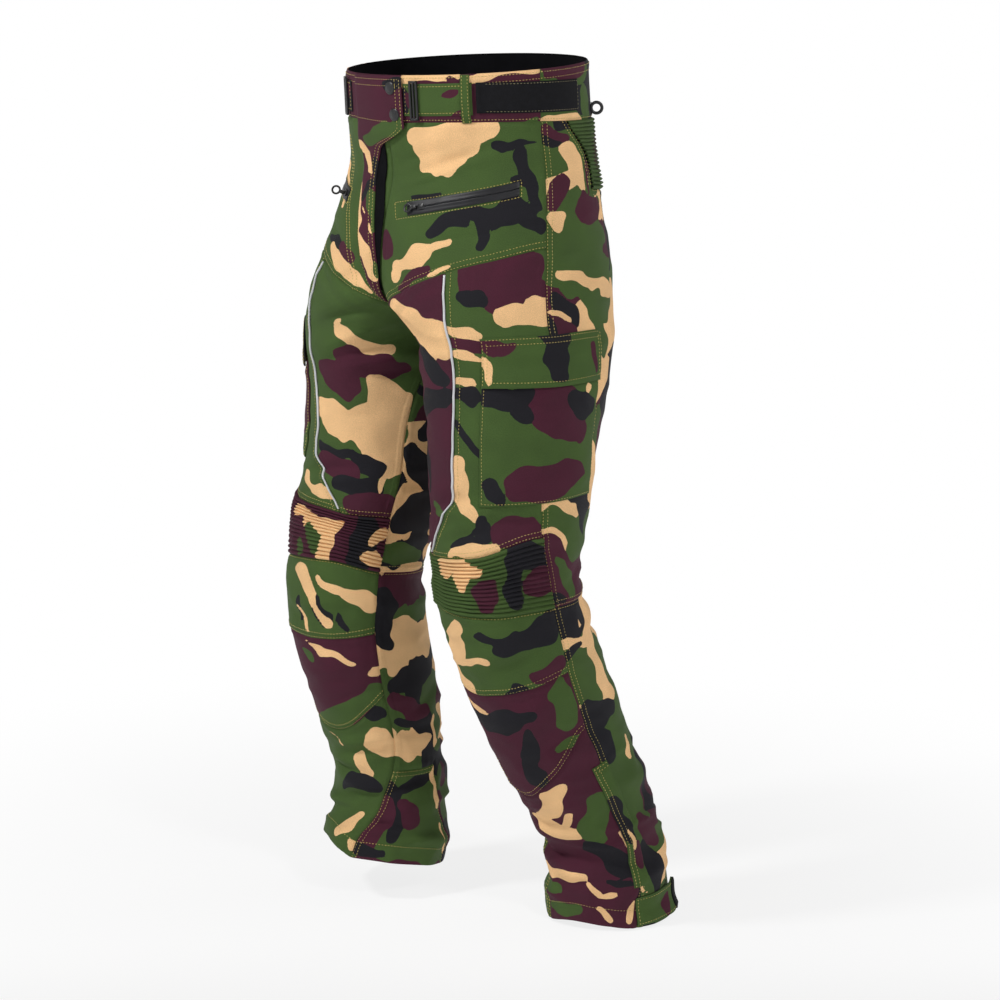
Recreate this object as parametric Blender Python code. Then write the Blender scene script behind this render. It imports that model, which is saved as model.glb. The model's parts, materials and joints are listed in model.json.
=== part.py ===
"""Motorcycle trousers, filled out as worn in mid stride with nobody in them.

Run with: blender --background --python part.py

Metres, +Z up. The wearer faces -Y and the wearer's left is +X. The origin is the middle of the
waistband, where the wearer's waist holds the trousers.

Both halves are one smooth skin over rings (PELVIS, LEGS). A lattice of rows and columns lies on
it, with every seam on a lattice line, and each panel is a block of its cells: so neighbouring
panels share their edge, and pieces sewn on top are made from the panel's points, moved out.
"""
import math

import bmesh
import bpy
import numpy as np
from mathutils import Matrix, Vector

# ---------------------------------------------------------------- driving sizes
WALL = 0.0018  # shell cloth with its lining
PULL_BACK = 0.00022  # each side of a seam: pieces end up 0.3 mm or more apart
LIFT = 0.0004  # between a panel and what is sewn on it
CROTCH = 0.292  # drop of the crotch point below the waist's top edge
KNEE_RIBS, YOKE_RIBS = 15, 18  # on the knee's accordion and on the back yoke
RIB_HEIGHT = 0.0024
TAPE_WALL = 0.0009
STRAP_WALL = 0.0015

# A ring of the skin: its drop along the leg, its centre, and its radii to the inner, outer,
# front and back side. Pelvis rings of the two halves meet in the plane x = 0.
RING_COLUMNS = ("drop", "cx", "cy", "cz", "inner", "outer", "front", "back")
PELVIS = (
    (0.000, 0.000, 0.000, 0.037, 0.152, 0.152, 0.124, 0.120),
    (0.062, 0.000, 0.002, -0.027, 0.154, 0.154, 0.121, 0.122),
    (0.105, 0.006, 0.006, -0.070, 0.156, 0.152, 0.118, 0.122),
    (0.160, 0.022, 0.001, -0.125, 0.158, 0.146, 0.126, 0.129),
    (0.210, 0.045, -0.002, -0.175, 0.146, 0.131, 0.134, 0.132),
    (0.250, 0.066, -0.008, -0.215, 0.120, 0.118, 0.137, 0.130),
    (0.275, 0.080, -0.010, -0.240, 0.102, 0.108, 0.134, 0.123),
    (0.292, 0.090, -0.011, -0.257, 0.0901, 0.103, 0.130, 0.119),
)
LEGS = {
    "left": (
        (0.330, 0.098, -0.015, -0.295, 0.091, 0.098, 0.120, 0.110),
        (0.400, 0.104, -0.024, -0.364, 0.090, 0.094, 0.108, 0.098),
        (0.470, 0.109, -0.033, -0.433, 0.086, 0.090, 0.098, 0.086),
        (0.535, 0.112, -0.039, -0.498, 0.080, 0.084, 0.091, 0.077),
        (0.580, 0.113, -0.036, -0.543, 0.076, 0.081, 0.089, 0.073),
        (0.640, 0.115, -0.021, -0.601, 0.074, 0.080, 0.086, 0.080),
        (0.710, 0.118, 0.004, -0.667, 0.073, 0.077, 0.082, 0.082),
        (0.780, 0.122, 0.034, -0.730, 0.070, 0.073, 0.078, 0.078),
        (0.850, 0.126, 0.066, -0.792, 0.066, 0.069, 0.070, 0.072),
        (0.910, 0.129, 0.090, -0.847, 0.062, 0.066, 0.064, 0.068),
        (0.960, 0.131, 0.101, -0.896, 0.066, 0.070, 0.074, 0.070),
        (1.015, 0.132, 0.105, -0.951, 0.066, 0.072, 0.076, 0.072),
    ),
    "right": (
        (0.330, 0.098, -0.010, -0.295, 0.091, 0.098, 0.122, 0.112),
        (0.400, 0.104, -0.016, -0.364, 0.090, 0.094, 0.110, 0.100),
        (0.470, 0.110, -0.030, -0.432, 0.086, 0.090, 0.098, 0.088),
        (0.535, 0.116, -0.050, -0.494, 0.080, 0.086, 0.090, 0.078),
        (0.580, 0.120, -0.062, -0.538, 0.076, 0.082, 0.086, 0.074),
        (0.640, 0.121, -0.062, -0.598, 0.074, 0.080, 0.086, 0.077),
        (0.710, 0.122, -0.050, -0.666, 0.073, 0.077, 0.078, 0.078),
        (0.780, 0.122, -0.034, -0.732, 0.070, 0.073, 0.068, 0.075),
        (0.850, 0.122, -0.022, -0.797, 0.064, 0.069, 0.062, 0.070),
        (0.910, 0.122, -0.020, -0.850, 0.064, 0.066, 0.064, 0.072),
        (0.960, 0.122, -0.025, -0.886, 0.066, 0.070, 0.078, 0.078),
        (1.015, 0.122, -0.034, -0.918, 0.066, 0.072, 0.074, 0.078),
    ),
}
# Degrees by which the rings near the waist tip down to the front, against their drop.
WAIST_TILT = ((0.0, 4.6), (0.062, 4.2), (0.16, 2.0), (0.25, 0.0), (0.30, 0.0))

# The lattice's columns: its named lines, and their angles round the ring in degrees against
# the drop (0 inner side, 90 front, 180 outer side, 270 back).
COLUMN = {
    "front_inseam": 0,
    "piping": 4,
    "cargo_front": 6,
    "side": 9,
    "cargo_back": 12,
    "back": 16,
    "gusset": 19,
    "back_inseam": 23,
}
ANGLES = (
    # drop, piping, cargo_front, side, cargo_back, back, gusset
    (0.000, 113, 137, 167, 181, 215, 245),
    (0.056, 113, 137, 166, 182, 215, 245),
    (0.100, 114, 136, 165, 196, 222, 247),
    (0.140, 115, 134, 165, 199, 224, 248),
    (0.200, 115, 132, 164, 199, 232, 262),
    (0.250, 112, 128, 163, 198, 244, 288),
    (0.292, 107, 125, 163, 197, 256, 312),
    (0.350, 102, 121, 161, 199, 264, 326),
    (0.430, 98, 118, 160, 203, 268, 334),
    (0.480, 94, 117, 160, 207, 270, 336),
    (0.510, 80, 116, 162, 210, 272, 337),
    (0.536, 63, 114, 166, 212, 274, 338),
    (0.590, 65, 113, 171, 216, 276, 339),
    (0.670, 80, 122, 171, 218, 278, 342),
    (0.800, 90, 128, 170, 218, 278, 342),
    (0.890, 96, 132, 170, 218, 274, 342),
    (0.950, 104, 136, 166, 214, 264, 328),
    (1.020, 110, 138, 161, 208, 254, 312),
)
INSEAM_ANGLE = (
    (0.292, 0), (0.340, 18), (0.390, 27), (0.500, 25), (0.586, 21),
    (0.672, 26), (0.722, 28), (0.830, 33), (0.882, 48), (0.942, 60), (1.020, 71),
)

# The lattice's named rows: the row's number, and its drop on each named column.
UPPER_SEAMS = {
    # row, front_inseam, piping, cargo_front, side, cargo_back, back, gusset, back_inseam
    "waist_top": (0, 0.000, 0.000, 0.000, 0.000, 0.000, 0.000, 0.000, 0.000),
    "waistband": (2, 0.052, 0.050, 0.051, 0.054, 0.057, 0.062, 0.064, 0.066),
    "back_yoke": (5, 0.120, 0.118, 0.118, 0.122, 0.134, 0.140, 0.143, 0.144),
    "front_yoke": (9, 0.262, 0.217, 0.206, 0.192, 0.196, 0.215, 0.228, 0.240),
    "rise": (10, 0.280, 0.230, 0.220, 0.207, 0.211, 0.232, 0.252, 0.270),
    "low_rise": (11, 0.289, 0.243, 0.234, 0.222, 0.226, 0.248, 0.268, 0.286),
    "crotch": (12, 0.292, 0.257, 0.249, 0.240, 0.244, 0.264, 0.280, 0.292),
    "flap_top": (14, 0.330, 0.296, 0.288, 0.285, 0.284, 0.300, 0.318, 0.330),
    "flap_foot": (16, 0.388, 0.358, 0.351, 0.343, 0.334, 0.352, 0.372, 0.388),
    "bag_foot": (20, 0.486, 0.484, 0.482, 0.473, 0.462, 0.474, 0.483, 0.486),
    "knee_top": (22, 0.532, 0.537, 0.531, 0.510, 0.520, 0.530, 0.532, 0.532),
    "knee_foot": (25, 0.588, 0.581, 0.583, 0.586, 0.594, 0.591, 0.589, 0.588),
}
LOWER_SEAMS = {
    "left": {
        "cap_foot": (28, 0.676, 0.670, 0.667, 0.664, 0.666, 0.670, 0.674, 0.676),
        "shin_foot": (31, 0.745, 0.806, 0.780, 0.738, 0.744, 0.750, 0.748, 0.745),
        "gusset_top": (33, 0.836, 0.846, 0.836, 0.826, 0.830, 0.838, 0.844, 0.836),
        "hem": (43, 1.010, 1.003, 1.008, 1.013, 1.014, 1.014, 1.013, 1.010),
    },
    "right": {
        "cap_foot": (28, 0.654, 0.654, 0.653, 0.652, 0.653, 0.654, 0.655, 0.654),
        "shin_foot": (31, 0.730, 0.776, 0.764, 0.735, 0.738, 0.740, 0.735, 0.730),
        "gusset_top": (33, 0.838, 0.832, 0.826, 0.824, 0.828, 0.838, 0.846, 0.838),
        "hem": (43, 1.012, 0.984, 0.976, 0.974, 0.976, 0.982, 0.996, 1.012),
    },
}

# The largest folds, raised outwards: where they lie, how far round they run (degrees), how
# much they drop on each degree (millimetres), and their half width and height (millimetres).
FOLDS = {
    # drop, angle, run, slant, width, height
    "left": (
        (0.500, 75, 30, -0.35, 11, 3.0),
        (0.524, 120, 34, -0.20, 9, 2.5),
        (0.590, 270, 44, 0.10, 10, 3.5),
        (0.628, 262, 36, -0.15, 11, 3.0),
        (0.842, 205, 34, 0.50, 11, 3.0),
        (0.870, 80, 46, -0.10, 11, 4.5),
        (0.896, 150, 34, 0.35, 10, 4.0),
        (0.905, 285, 44, 0.12, 12, 4.5),
        (0.922, 62, 44, 0.20, 11, 4.0),
        (0.940, 215, 36, -0.25, 11, 4.0),
        (0.958, 120, 40, -0.12, 10, 3.0),
        (0.964, 330, 40, -0.10, 11, 3.5),
    ),
    "right": (
        (0.505, 82, 32, 0.30, 11, 3.0),
        (0.520, 40, 24, -0.25, 10, 2.5),
        (0.592, 266, 44, -0.10, 10, 3.5),
        (0.630, 280, 36, 0.15, 11, 3.0),
        (0.826, 110, 40, 0.15, 11, 3.5),
        (0.850, 215, 40, -0.25, 11, 3.5),
        (0.862, 62, 38, -0.30, 11, 4.0),
        (0.884, 300, 44, 0.15, 12, 4.0),
        (0.898, 128, 46, 0.10, 11, 5.0),
        (0.922, 70, 40, 0.25, 10, 3.5),
        (0.932, 205, 36, 0.20, 11, 4.0),
        (0.952, 340, 40, -0.12, 11, 3.5),
    ),
}

# Colours (linear RGB), roughness and metallic value.
CAMO_GREEN = ((0.066, 0.115, 0.032), 0.85, 0.0)
CAMO_MAROON = ((0.064, 0.015, 0.028), 0.85, 0.0)
CAMO_TAN = ((0.78, 0.49, 0.25), 0.85, 0.0)
BLACK_CLOTH = ((0.012, 0.012, 0.014), 0.9, 0.0)
PIPING_GREY = ((0.52, 0.53, 0.54), 0.35, 0.0)
BLACK_PLASTIC = ((0.016, 0.016, 0.018), 0.4, 0.0)


def hermite(xs, ys, x):
    """A smooth curve through a table's points."""
    xs, ys = np.asarray(xs, float), np.asarray(ys, float)
    gap = np.diff(xs)
    secant = np.diff(ys) / gap
    slope = np.empty_like(ys)
    slope[1:-1] = (secant[:-1] * gap[1:] + secant[1:] * gap[:-1]) / (xs[2:] - xs[:-2])
    slope[0], slope[-1] = secant[0], secant[-1]
    x = np.clip(x, xs[0], xs[-1])
    k = np.clip(np.searchsorted(xs, x) - 1, 0, len(xs) - 2)
    step = xs[k + 1] - xs[k]
    t = (x - xs[k]) / step
    ends = ys[k] * (1 + 2 * t) * (1 - t) ** 2 + ys[k + 1] * t * t * (3 - 2 * t)
    return ends + step * (slope[k] * t * (1 - t) ** 2 - slope[k + 1] * t * t * (1 - t))


def unit(vectors):
    return vectors / np.linalg.norm(vectors, axis=-1, keepdims=True)


class Half:
    """One half of the trousers: the skin, and the lattice of seams on it."""

    def __init__(self, side):
        self.side = side
        self.mirror = 1.0 if side == "left" else -1.0
        rings = PELVIS + LEGS[side]
        self.rings = {name: [r[k] for r in rings] for k, name in enumerate(RING_COLUMNS)}
        self.seams = {**UPPER_SEAMS, **LOWER_SEAMS[side]}
        self.row = {name: seam[0] for name, seam in self.seams.items()}
        rows, columns = self.row["hem"] + 1, COLUMN["back_inseam"] + 1
        v, u = np.meshgrid(np.arange(rows), np.arange(columns), indexing="ij")
        self.base = self.skin(v, u)
        self.out = self.normals(v, u)
        drop = self.drop(v, u)
        self.outer = self.base + self.out * self.fold(drop, self.angle(u, drop))[..., None]

    # ---- the skin
    def ring(self, name, drop):
        return hermite(self.rings["drop"], self.rings[name], drop)

    def lean(self, drop):
        """How far a ring is tipped: square to the leg, and by the waist's own tilt above."""
        step = 0.012
        dy = self.ring("cy", drop + step) - self.ring("cy", drop - step)
        dz = self.ring("cz", drop + step) - self.ring("cz", drop - step)
        share = np.clip((drop - 0.26) / 0.10, 0, 1)
        share = share * share * (3 - 2 * share)
        tilt = np.radians(hermite(*zip(*WAIST_TILT), drop))
        return np.arctan2(dy, -dz) * share + tilt * (1 - share)

    def skin_at(self, drop, angle):
        """A point of the smooth skin; the angle is in degrees."""
        drop, turn = np.broadcast_arrays(np.asarray(drop, float), np.radians(angle))
        across, along = np.cos(turn), np.sin(turn)
        half_width = np.where(across > 0, self.ring("inner", drop), self.ring("outer", drop))
        half_depth = np.where(along > 0, self.ring("front", drop), self.ring("back", drop))
        lean = self.lean(drop)
        depth = -half_depth * along
        x = self.ring("cx", drop) - half_width * across
        y = self.ring("cy", drop) + depth * np.cos(lean)
        z = self.ring("cz", drop) + depth * np.sin(lean)
        return np.stack([self.mirror * x, y, z], -1)

    def normal_at(self, drop, angle):
        """The skin's outward direction."""
        d_drop, d_angle = 0.002, 1.0
        down = self.skin_at(drop + d_drop, angle) - self.skin_at(drop - d_drop, angle)
        round_ = self.skin_at(drop, angle + d_angle) - self.skin_at(drop, angle - d_angle)
        return unit(np.cross(down, round_) * self.mirror)

    def opening(self, drop):
        """The angle at which a pelvis ring meets the plane x = 0."""
        ratio = self.ring("cx", drop) / self.ring("inner", drop)
        return np.degrees(np.arccos(np.clip(ratio, -1, 1)))

    def fold(self, drop, angle):
        total = np.zeros(np.broadcast(drop, angle).shape)
        for at, middle, run, slant, width, height in FOLDS[self.side]:
            away = (angle - middle + 180) % 360 - 180
            across = (drop - at - slant * 1e-3 * away) / (width * 1e-3)
            total = total + height * 1e-3 * np.exp(-(across**2) - (away / run) ** 2)
        return total

    # ---- the lattice
    def drop(self, v, u):
        """The drop at a row and a column, whole or in between."""
        lines = list(COLUMN.values())
        rows = np.array([seam[0] for seam in self.seams.values()])
        drops = np.stack([hermite(lines, seam[1:], u) for seam in self.seams.values()])
        k = np.clip(np.searchsorted(rows, v, side="right") - 1, 0, len(rows) - 2)
        share = (v - rows[k]) / (rows[k + 1] - rows[k])
        upper = np.take_along_axis(drops, k[None], 0)[0]
        lower = np.take_along_axis(drops, k[None] + 1, 0)[0]
        return upper + (lower - upper) * share

    def column_angles(self, drop):
        """The named columns' angles at a drop."""
        above = drop < CROTCH - 1e-6
        first = np.where(above, self.opening(drop), hermite(*zip(*INSEAM_ANGLE), drop))
        last = np.where(above, 360 - first, 360 + first)
        table = list(zip(*ANGLES))
        middle = [hermite(table[0], column, drop) for column in table[1:]]
        return np.stack([first, *middle, last])

    def angle(self, u, drop):
        lines = np.array(list(COLUMN.values()))
        angles = self.column_angles(drop)
        k = np.clip(np.searchsorted(lines, u, side="right") - 1, 0, len(lines) - 2)
        share = (u - lines[k]) / (lines[k + 1] - lines[k])
        low = np.take_along_axis(angles, k[None], 0)[0]
        high = np.take_along_axis(angles, k[None] + 1, 0)[0]
        return low + (high - low) * share

    def in_plane(self, v, u):
        """True where a lattice point lies in the plane x = 0, where the halves are sewn."""
        edge = (u == COLUMN["front_inseam"]) | (u == COLUMN["back_inseam"])
        return edge & (v <= self.row["crotch"])

    def skin(self, v, u):
        drop = self.drop(v, u)
        points = self.skin_at(drop, self.angle(u, drop))
        points[self.in_plane(v, u), 0] = 0.0
        return points

    def normals(self, v, u):
        drop = self.drop(v, u)
        normals = self.normal_at(drop, self.angle(u, drop))
        step = 0.0006
        plane = self.in_plane(v, u)
        ahead = np.minimum(drop, CROTCH - step)
        sign = np.where(u == 0, 1.0, -1.0)
        meet = np.where(u == 0, 0.0, 360.0)
        first = self.skin_at(ahead, meet + sign * self.opening(ahead))
        second = self.skin_at(ahead + step, meet + sign * self.opening(ahead + step))
        run = second - first
        in_plane = np.stack([np.zeros_like(sign), run[..., 2] * sign, -run[..., 1] * sign], -1)
        normals[plane] = unit(in_plane[plane])
        return normals

    def locate(self, drop, angle):
        """The row and column, in fractions, of a drop and an angle."""
        lines = list(COLUMN.values())
        u = np.interp(angle, self.column_angles(np.float64(drop)), lines)
        rows = [seam[0] for seam in self.seams.values()]
        drops = [float(hermite(lines, seam[1:], u)) for seam in self.seams.values()]
        return float(np.interp(drop, drops, rows)), float(u)

    def between(self, grid, v, u):
        """A lattice grid's value on its flat facets between lattice points."""
        v, u = np.broadcast_arrays(np.asarray(v, float), np.asarray(u, float))
        r = np.clip(np.floor(v + 1e-9).astype(int), 0, grid.shape[0] - 2)
        c = np.clip(np.floor(u + 1e-9).astype(int), 0, grid.shape[1] - 2)
        down, across = (v - r)[..., None], (u - c)[..., None]
        start, far = grid[r, c], grid[r + 1, c + 1]
        upper = (grid[r, c + 1] - start) * across + (far - grid[r, c + 1]) * down
        lower = (far - grid[r + 1, c]) * across + (grid[r + 1, c] - start) * down
        return start + np.where(across >= down, upper, lower)

    def raised(self, v, u, height):
        """Points moved out from the panels' outer face."""
        height = np.broadcast_to(height, np.broadcast(v, u).shape)
        return self.between(self.outer, v, u) + self.between(self.out, v, u) * height[..., None]


# ---------------------------------------------------------------- closed solids
MATERIALS = {}


def material(name, look):
    if name not in MATERIALS:
        colour, roughness, metallic = look
        new = bpy.data.materials.new(name)
        new.use_nodes = True
        shader = new.node_tree.nodes["Principled BSDF"]
        shader.inputs["Base Color"].default_value = (*colour, 1.0)
        shader.inputs["Roughness"].default_value = roughness
        shader.inputs["Metallic"].default_value = metallic
        MATERIALS[name] = new
    return MATERIALS[name]


def add_object(name, mesh_or_bm, slot, look, sharp_degrees=40):
    mesh = bpy.data.meshes.new(name)
    bmesh.ops.recalc_face_normals(mesh_or_bm, faces=mesh_or_bm.faces)
    mesh_or_bm.to_mesh(mesh)
    mesh_or_bm.free()
    mesh.polygons.foreach_set("use_smooth", [True] * len(mesh.polygons))
    mesh.set_sharp_from_angle(angle=math.radians(sharp_degrees))
    mesh.materials.append(material(slot, look))
    new = bpy.data.objects.new(name, mesh)
    bpy.context.scene.collection.objects.link(new)
    return new


def closed_shell(name, outer, inner, slot, look, cells=None, ring=False):
    """A wall between two grids of points: the cells marked, and a rim round their edge."""
    rows, columns = outer.shape[:2]
    if cells is None:
        cells = np.ones((rows - 1, columns if ring else columns - 1), bool)
    bm = bmesh.new()
    points = {}

    def point(layer, grid, r, c):
        key = (layer, r, c % columns)
        if key not in points:
            points[key] = bm.verts.new(grid[r, c % columns])
        return points[key]

    edges = {}
    for r, c in zip(*np.nonzero(cells)):
        corners = ((r, c), (r, c + 1), (r + 1, c + 1), (r + 1, c))
        for layer, grid in ((0, outer), (1, inner)):
            a, b, d, e = (point(layer, grid, *corner) for corner in corners)
            bm.faces.new((a, b, d) if layer == 0 else (d, b, a))
            bm.faces.new((a, d, e) if layer == 0 else (e, d, a))
        for k in range(4):
            start, end = corners[k], corners[(k + 1) % 4]
            key = frozenset(((start[0], start[1] % columns), (end[0], end[1] % columns)))
            edges[key] = None if key in edges else (start, end)
    for edge in edges.values():
        if edge:
            start, end = sorted(edge)  # so that both sides of a seam split its rim alike
            a, b = point(0, outer, *start), point(0, outer, *end)
            d, e = point(1, inner, *end), point(1, inner, *start)
            bm.faces.new((b, a, e))
            bm.faces.new((b, e, d))
    return add_object(name, bm, slot, look)


def pull_back(points, cells):
    """The shift that moves a panel's edge points back into the panel, along its own cells."""
    shift = np.zeros_like(points)
    middles = {}
    for r, c in zip(*np.nonzero(cells)):
        corners = ((r, c), (r, c + 1), (r + 1, c + 1), (r + 1, c))
        middle = sum(points[corner] for corner in corners) / 4
        for corner in corners:
            middles.setdefault(corner, []).append(middle)
    for corner, found in middles.items():
        if len(found) < 4:
            away = sum(found) / len(found) - points[corner]
            shift[corner] = away / np.linalg.norm(away) * PULL_BACK
    return shift


def panel(name, half, rows, columns, look, cut=None):
    """A cloth wall over a block of lattice cells, less the cells of `cut`."""
    v, u = np.meshgrid(np.arange(rows[0], rows[1] + 1.0), np.arange(columns[0], columns[1] + 1),
                       indexing="ij")
    cells = np.ones((v.shape[0] - 1, v.shape[1] - 1), bool)
    if cut:
        (v0, v1), (u0, u1) = cut
        cells[v0 - rows[0]:v1 - rows[0], u0 - columns[0]:u1 - columns[0]] = False
    outer = half.raised(v, u, 0.0)
    inner = half.between(half.base, v, u) - half.between(half.out, v, u) * WALL
    shift = pull_back(inner, cells)
    shift[half.in_plane(v, u), 0] += half.mirror * PULL_BACK
    closed_shell(name, outer + shift, inner + shift, "camo_cloth", look, cells)


def across_back(grids):
    """One grid from the left half's and the right half's, joined at the centre back."""
    left, right = grids
    return np.concatenate([left, right[:, -2::-1]], axis=1)


def waistband_back(halves):
    rows = np.arange(halves[0].row["waist_top"], halves[0].row["waistband"] + 1.0)
    v, u = np.meshgrid(rows, np.arange(COLUMN["side"], COLUMN["back_inseam"] + 1), indexing="ij")
    outer = across_back([half.raised(v, u, 0.0) for half in halves])
    inner = across_back([half.raised(v, u, -WALL) for half in halves])
    cells = np.ones((outer.shape[0] - 1, outer.shape[1] - 1), bool)
    shift = pull_back(inner, cells)
    closed_shell("waistband_back", outer + shift, inner + shift, "camo_cloth", CAMO_GREEN, cells)


def rib_heights(rows):
    """0 in the valleys and the rib's height on the crests: two rows to a rib."""
    return RIB_HEIGHT * (np.arange(rows) % 2)[:, None]


def ribbed_wall(name, parts, rows, columns, ribs, look):
    """A wall with level ribs on its outer face, over a plain inside with the lattice's rows."""
    steps = 2 * ribs // (rows[1] - rows[0])
    fine = np.linspace(rows[0], rows[1], 2 * ribs + 1)
    grids = {}
    for layer, v_list in (("outer", fine), ("inner", np.arange(rows[0], rows[1] + 1.0))):
        v, u = np.meshgrid(v_list, np.arange(columns[0], columns[1] + 1), indexing="ij")
        height = rib_heights(len(v_list)) if layer == "outer" else -WALL
        faces = [half.raised(v, u, height) for half in parts]
        flat = [half.raised(v, u, 0.0) for half in parts]
        face, flat = (across_back(g) if len(parts) == 2 else g[0] for g in (faces, flat))
        cells = np.ones((face.shape[0] - 1, face.shape[1] - 1), bool)
        shift = pull_back(flat, cells)
        if len(parts) == 1:
            shift[parts[0].in_plane(v, u), 0] += parts[0].mirror * PULL_BACK
        grids[layer] = face + shift
    bm = bmesh.new()
    outer, inner = ([[bm.verts.new(p) for p in line] for line in grids[k]] for k in grids)
    for grid, turn in ((outer, 1), (inner, -1)):
        for low, high in zip(grid, grid[1:]):
            for k in range(len(low) - 1):
                bm.faces.new((low[k], low[k + 1], high[k + 1])[::turn])
                bm.faces.new((low[k], high[k + 1], high[k])[::turn])
    for face_row, back_row in ((outer[0], inner[0]), (outer[-1], inner[-1])):
        for k in range(len(face_row) - 1):
            bm.faces.new((face_row[k], face_row[k + 1], back_row[k]))
            bm.faces.new((face_row[k + 1], back_row[k + 1], back_row[k]))
    for end in (0, -1):
        for r in range(len(inner) - 1):
            low, high, middle = inner[r][end], inner[r + 1][end], r * steps + steps // 2
            for k in range(r * steps, (r + 1) * steps):
                near = low if k < middle else high
                bm.faces.new((outer[k][end], outer[k + 1][end], near))
            bm.faces.new((outer[middle][end], high, low))
    add_object(name, bm, "camo_elastic", look)


def stops(start, end, parts=1):
    """A start and an end in rows or columns, with each whole one (or part of one) between."""
    inner = np.arange(math.floor(start * parts) + 1, math.ceil(end * parts)) / parts
    return np.concatenate([[start], inner[(inner > start + 0.08) & (inner < end - 0.08)], [end]])


def patch(name, half, upper, lower, wall, look, slot, lift=LIFT, shares_down=(0, 0.5, 1)):
    """A piece lying on the panels between two corner pairs, each (drop, angle)."""
    (_, u0), (_, u1) = half.locate(*upper[0]), half.locate(*upper[1])
    u_list = stops(u0, u1)
    share = (u_list - u0) / (u1 - u0)
    top = upper[0][0] + (upper[1][0] - upper[0][0]) * share
    foot = lower[0][0] + (lower[1][0] - lower[0][0]) * share
    down = np.array(shares_down)[:, None]
    drops = top * (1 - down) + foot * down
    v = np.array([[row_at(half, d, u) for d, u in zip(line, u_list)] for line in drops])
    u = np.broadcast_to(u_list, v.shape)
    lift = np.broadcast_to(lift, v.shape)
    outer = half.raised(v, u, lift + wall)
    inner = half.raised(v, u, lift)
    return closed_shell(name, outer, inner, slot, look)


def fold_patch(name, half, drops, angles, wall, look, slot, lift):
    """A piece lying over folds: it bends on each half row and half column of the lattice."""
    middle = sum(drops) / 2
    (_, u0), (_, u1) = half.locate(middle, angles[0]), half.locate(middle, angles[1])
    u_list = stops(u0, u1, parts=2)
    ends = [[row_at(half, drop, u) for u in u_list] for drop in drops]
    inner_rows = stops(max(ends[0]), min(ends[1]), parts=2)[1:-1]
    v = np.array([ends[0], *([row] * len(u_list) for row in inner_rows), ends[1]])
    u = np.broadcast_to(u_list, v.shape)
    closed_shell(name, half.raised(v, u, lift + wall), half.raised(v, u, lift), slot, look)


def row_at(half, drop, u):
    """The row, in fractions, where a column reaches a drop."""
    lines = list(COLUMN.values())
    drops = [float(hermite(lines, seam[1:], u)) for seam in half.seams.values()]
    return float(np.interp(drop, drops, [seam[0] for seam in half.seams.values()]))


def loft(name, rings, slot, look):
    """A closed solid through rings of as many points each, with flat ends."""
    bm = bmesh.new()
    loops = [[bm.verts.new(p) for p in ring] for ring in rings]
    for low, high in zip(loops, loops[1:]):
        for k in range(len(low)):
            j = (k + 1) % len(low)
            bm.faces.new((low[k], low[j], high[j]))
            bm.faces.new((low[k], high[j], high[k]))
    bm.faces.new(loops[0][::-1])
    bm.faces.new(loops[-1])
    bmesh.ops.triangulate(bm, faces=bm.faces)
    return add_object(name, bm, slot, look)


# ---------------------------------------------------------------- hard pieces
def surface_frame(half, drop, angle, height, heading=0.0):
    """Axes at a place on the skin: X towards the back of the body, Y up, Z out.

    The heading turns them in the cloth, in degrees.
    """
    v, u = half.locate(drop, angle)
    out = unit(half.between(half.out, v, u))
    at = half.between(half.outer, v, u) + out * height
    along = half.skin_at(drop, angle + 1.0) - half.skin_at(drop, angle - 1.0)
    along = unit(along - out * float(along @ out))
    up = np.cross(out, along)
    if up[2] < 0:
        up = -up
    turn = math.radians(heading)
    x_axis = along * math.cos(turn) + up * math.sin(turn)
    y_axis = np.cross(out, x_axis)
    frame = Matrix([(*row, 0.0) for row in np.stack([x_axis, y_axis, out], 1)] + [(0, 0, 0, 1)])
    frame.translation = Vector(at)
    return frame


def bar(name, frame, size, edge, slot, look):
    """A block with rounded edges, its underside on the frame's XY plane."""
    bm = bmesh.new()
    bmesh.ops.create_cube(bm, size=1.0)
    bmesh.ops.scale(bm, vec=size, verts=bm.verts)
    bmesh.ops.translate(bm, vec=(0, 0, size[2] / 2), verts=bm.verts)
    bmesh.ops.bevel(bm, geom=bm.edges[:], offset=edge, segments=2, affect="EDGES", profile=0.5)
    bmesh.ops.triangulate(bm, faces=bm.faces)
    new = add_object(name, bm, slot, look)
    new.matrix_world = frame
    return new


def disc(name, frame, radius, height, slot, look):
    """A low dome for a snap: a disc with a rounded edge."""
    profile = ((1.0, 0.0), (1.0, 0.45), (0.86, 0.85), (0.55, 1.0))
    rings = [
        [
            frame @ Vector((radius * r * math.cos(t), radius * r * math.sin(t), height * z))
            for t in np.linspace(0, 2 * math.pi, 16, endpoint=False)
        ]
        for r, z in profile
    ]
    return loft(name, rings, slot, look)


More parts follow.
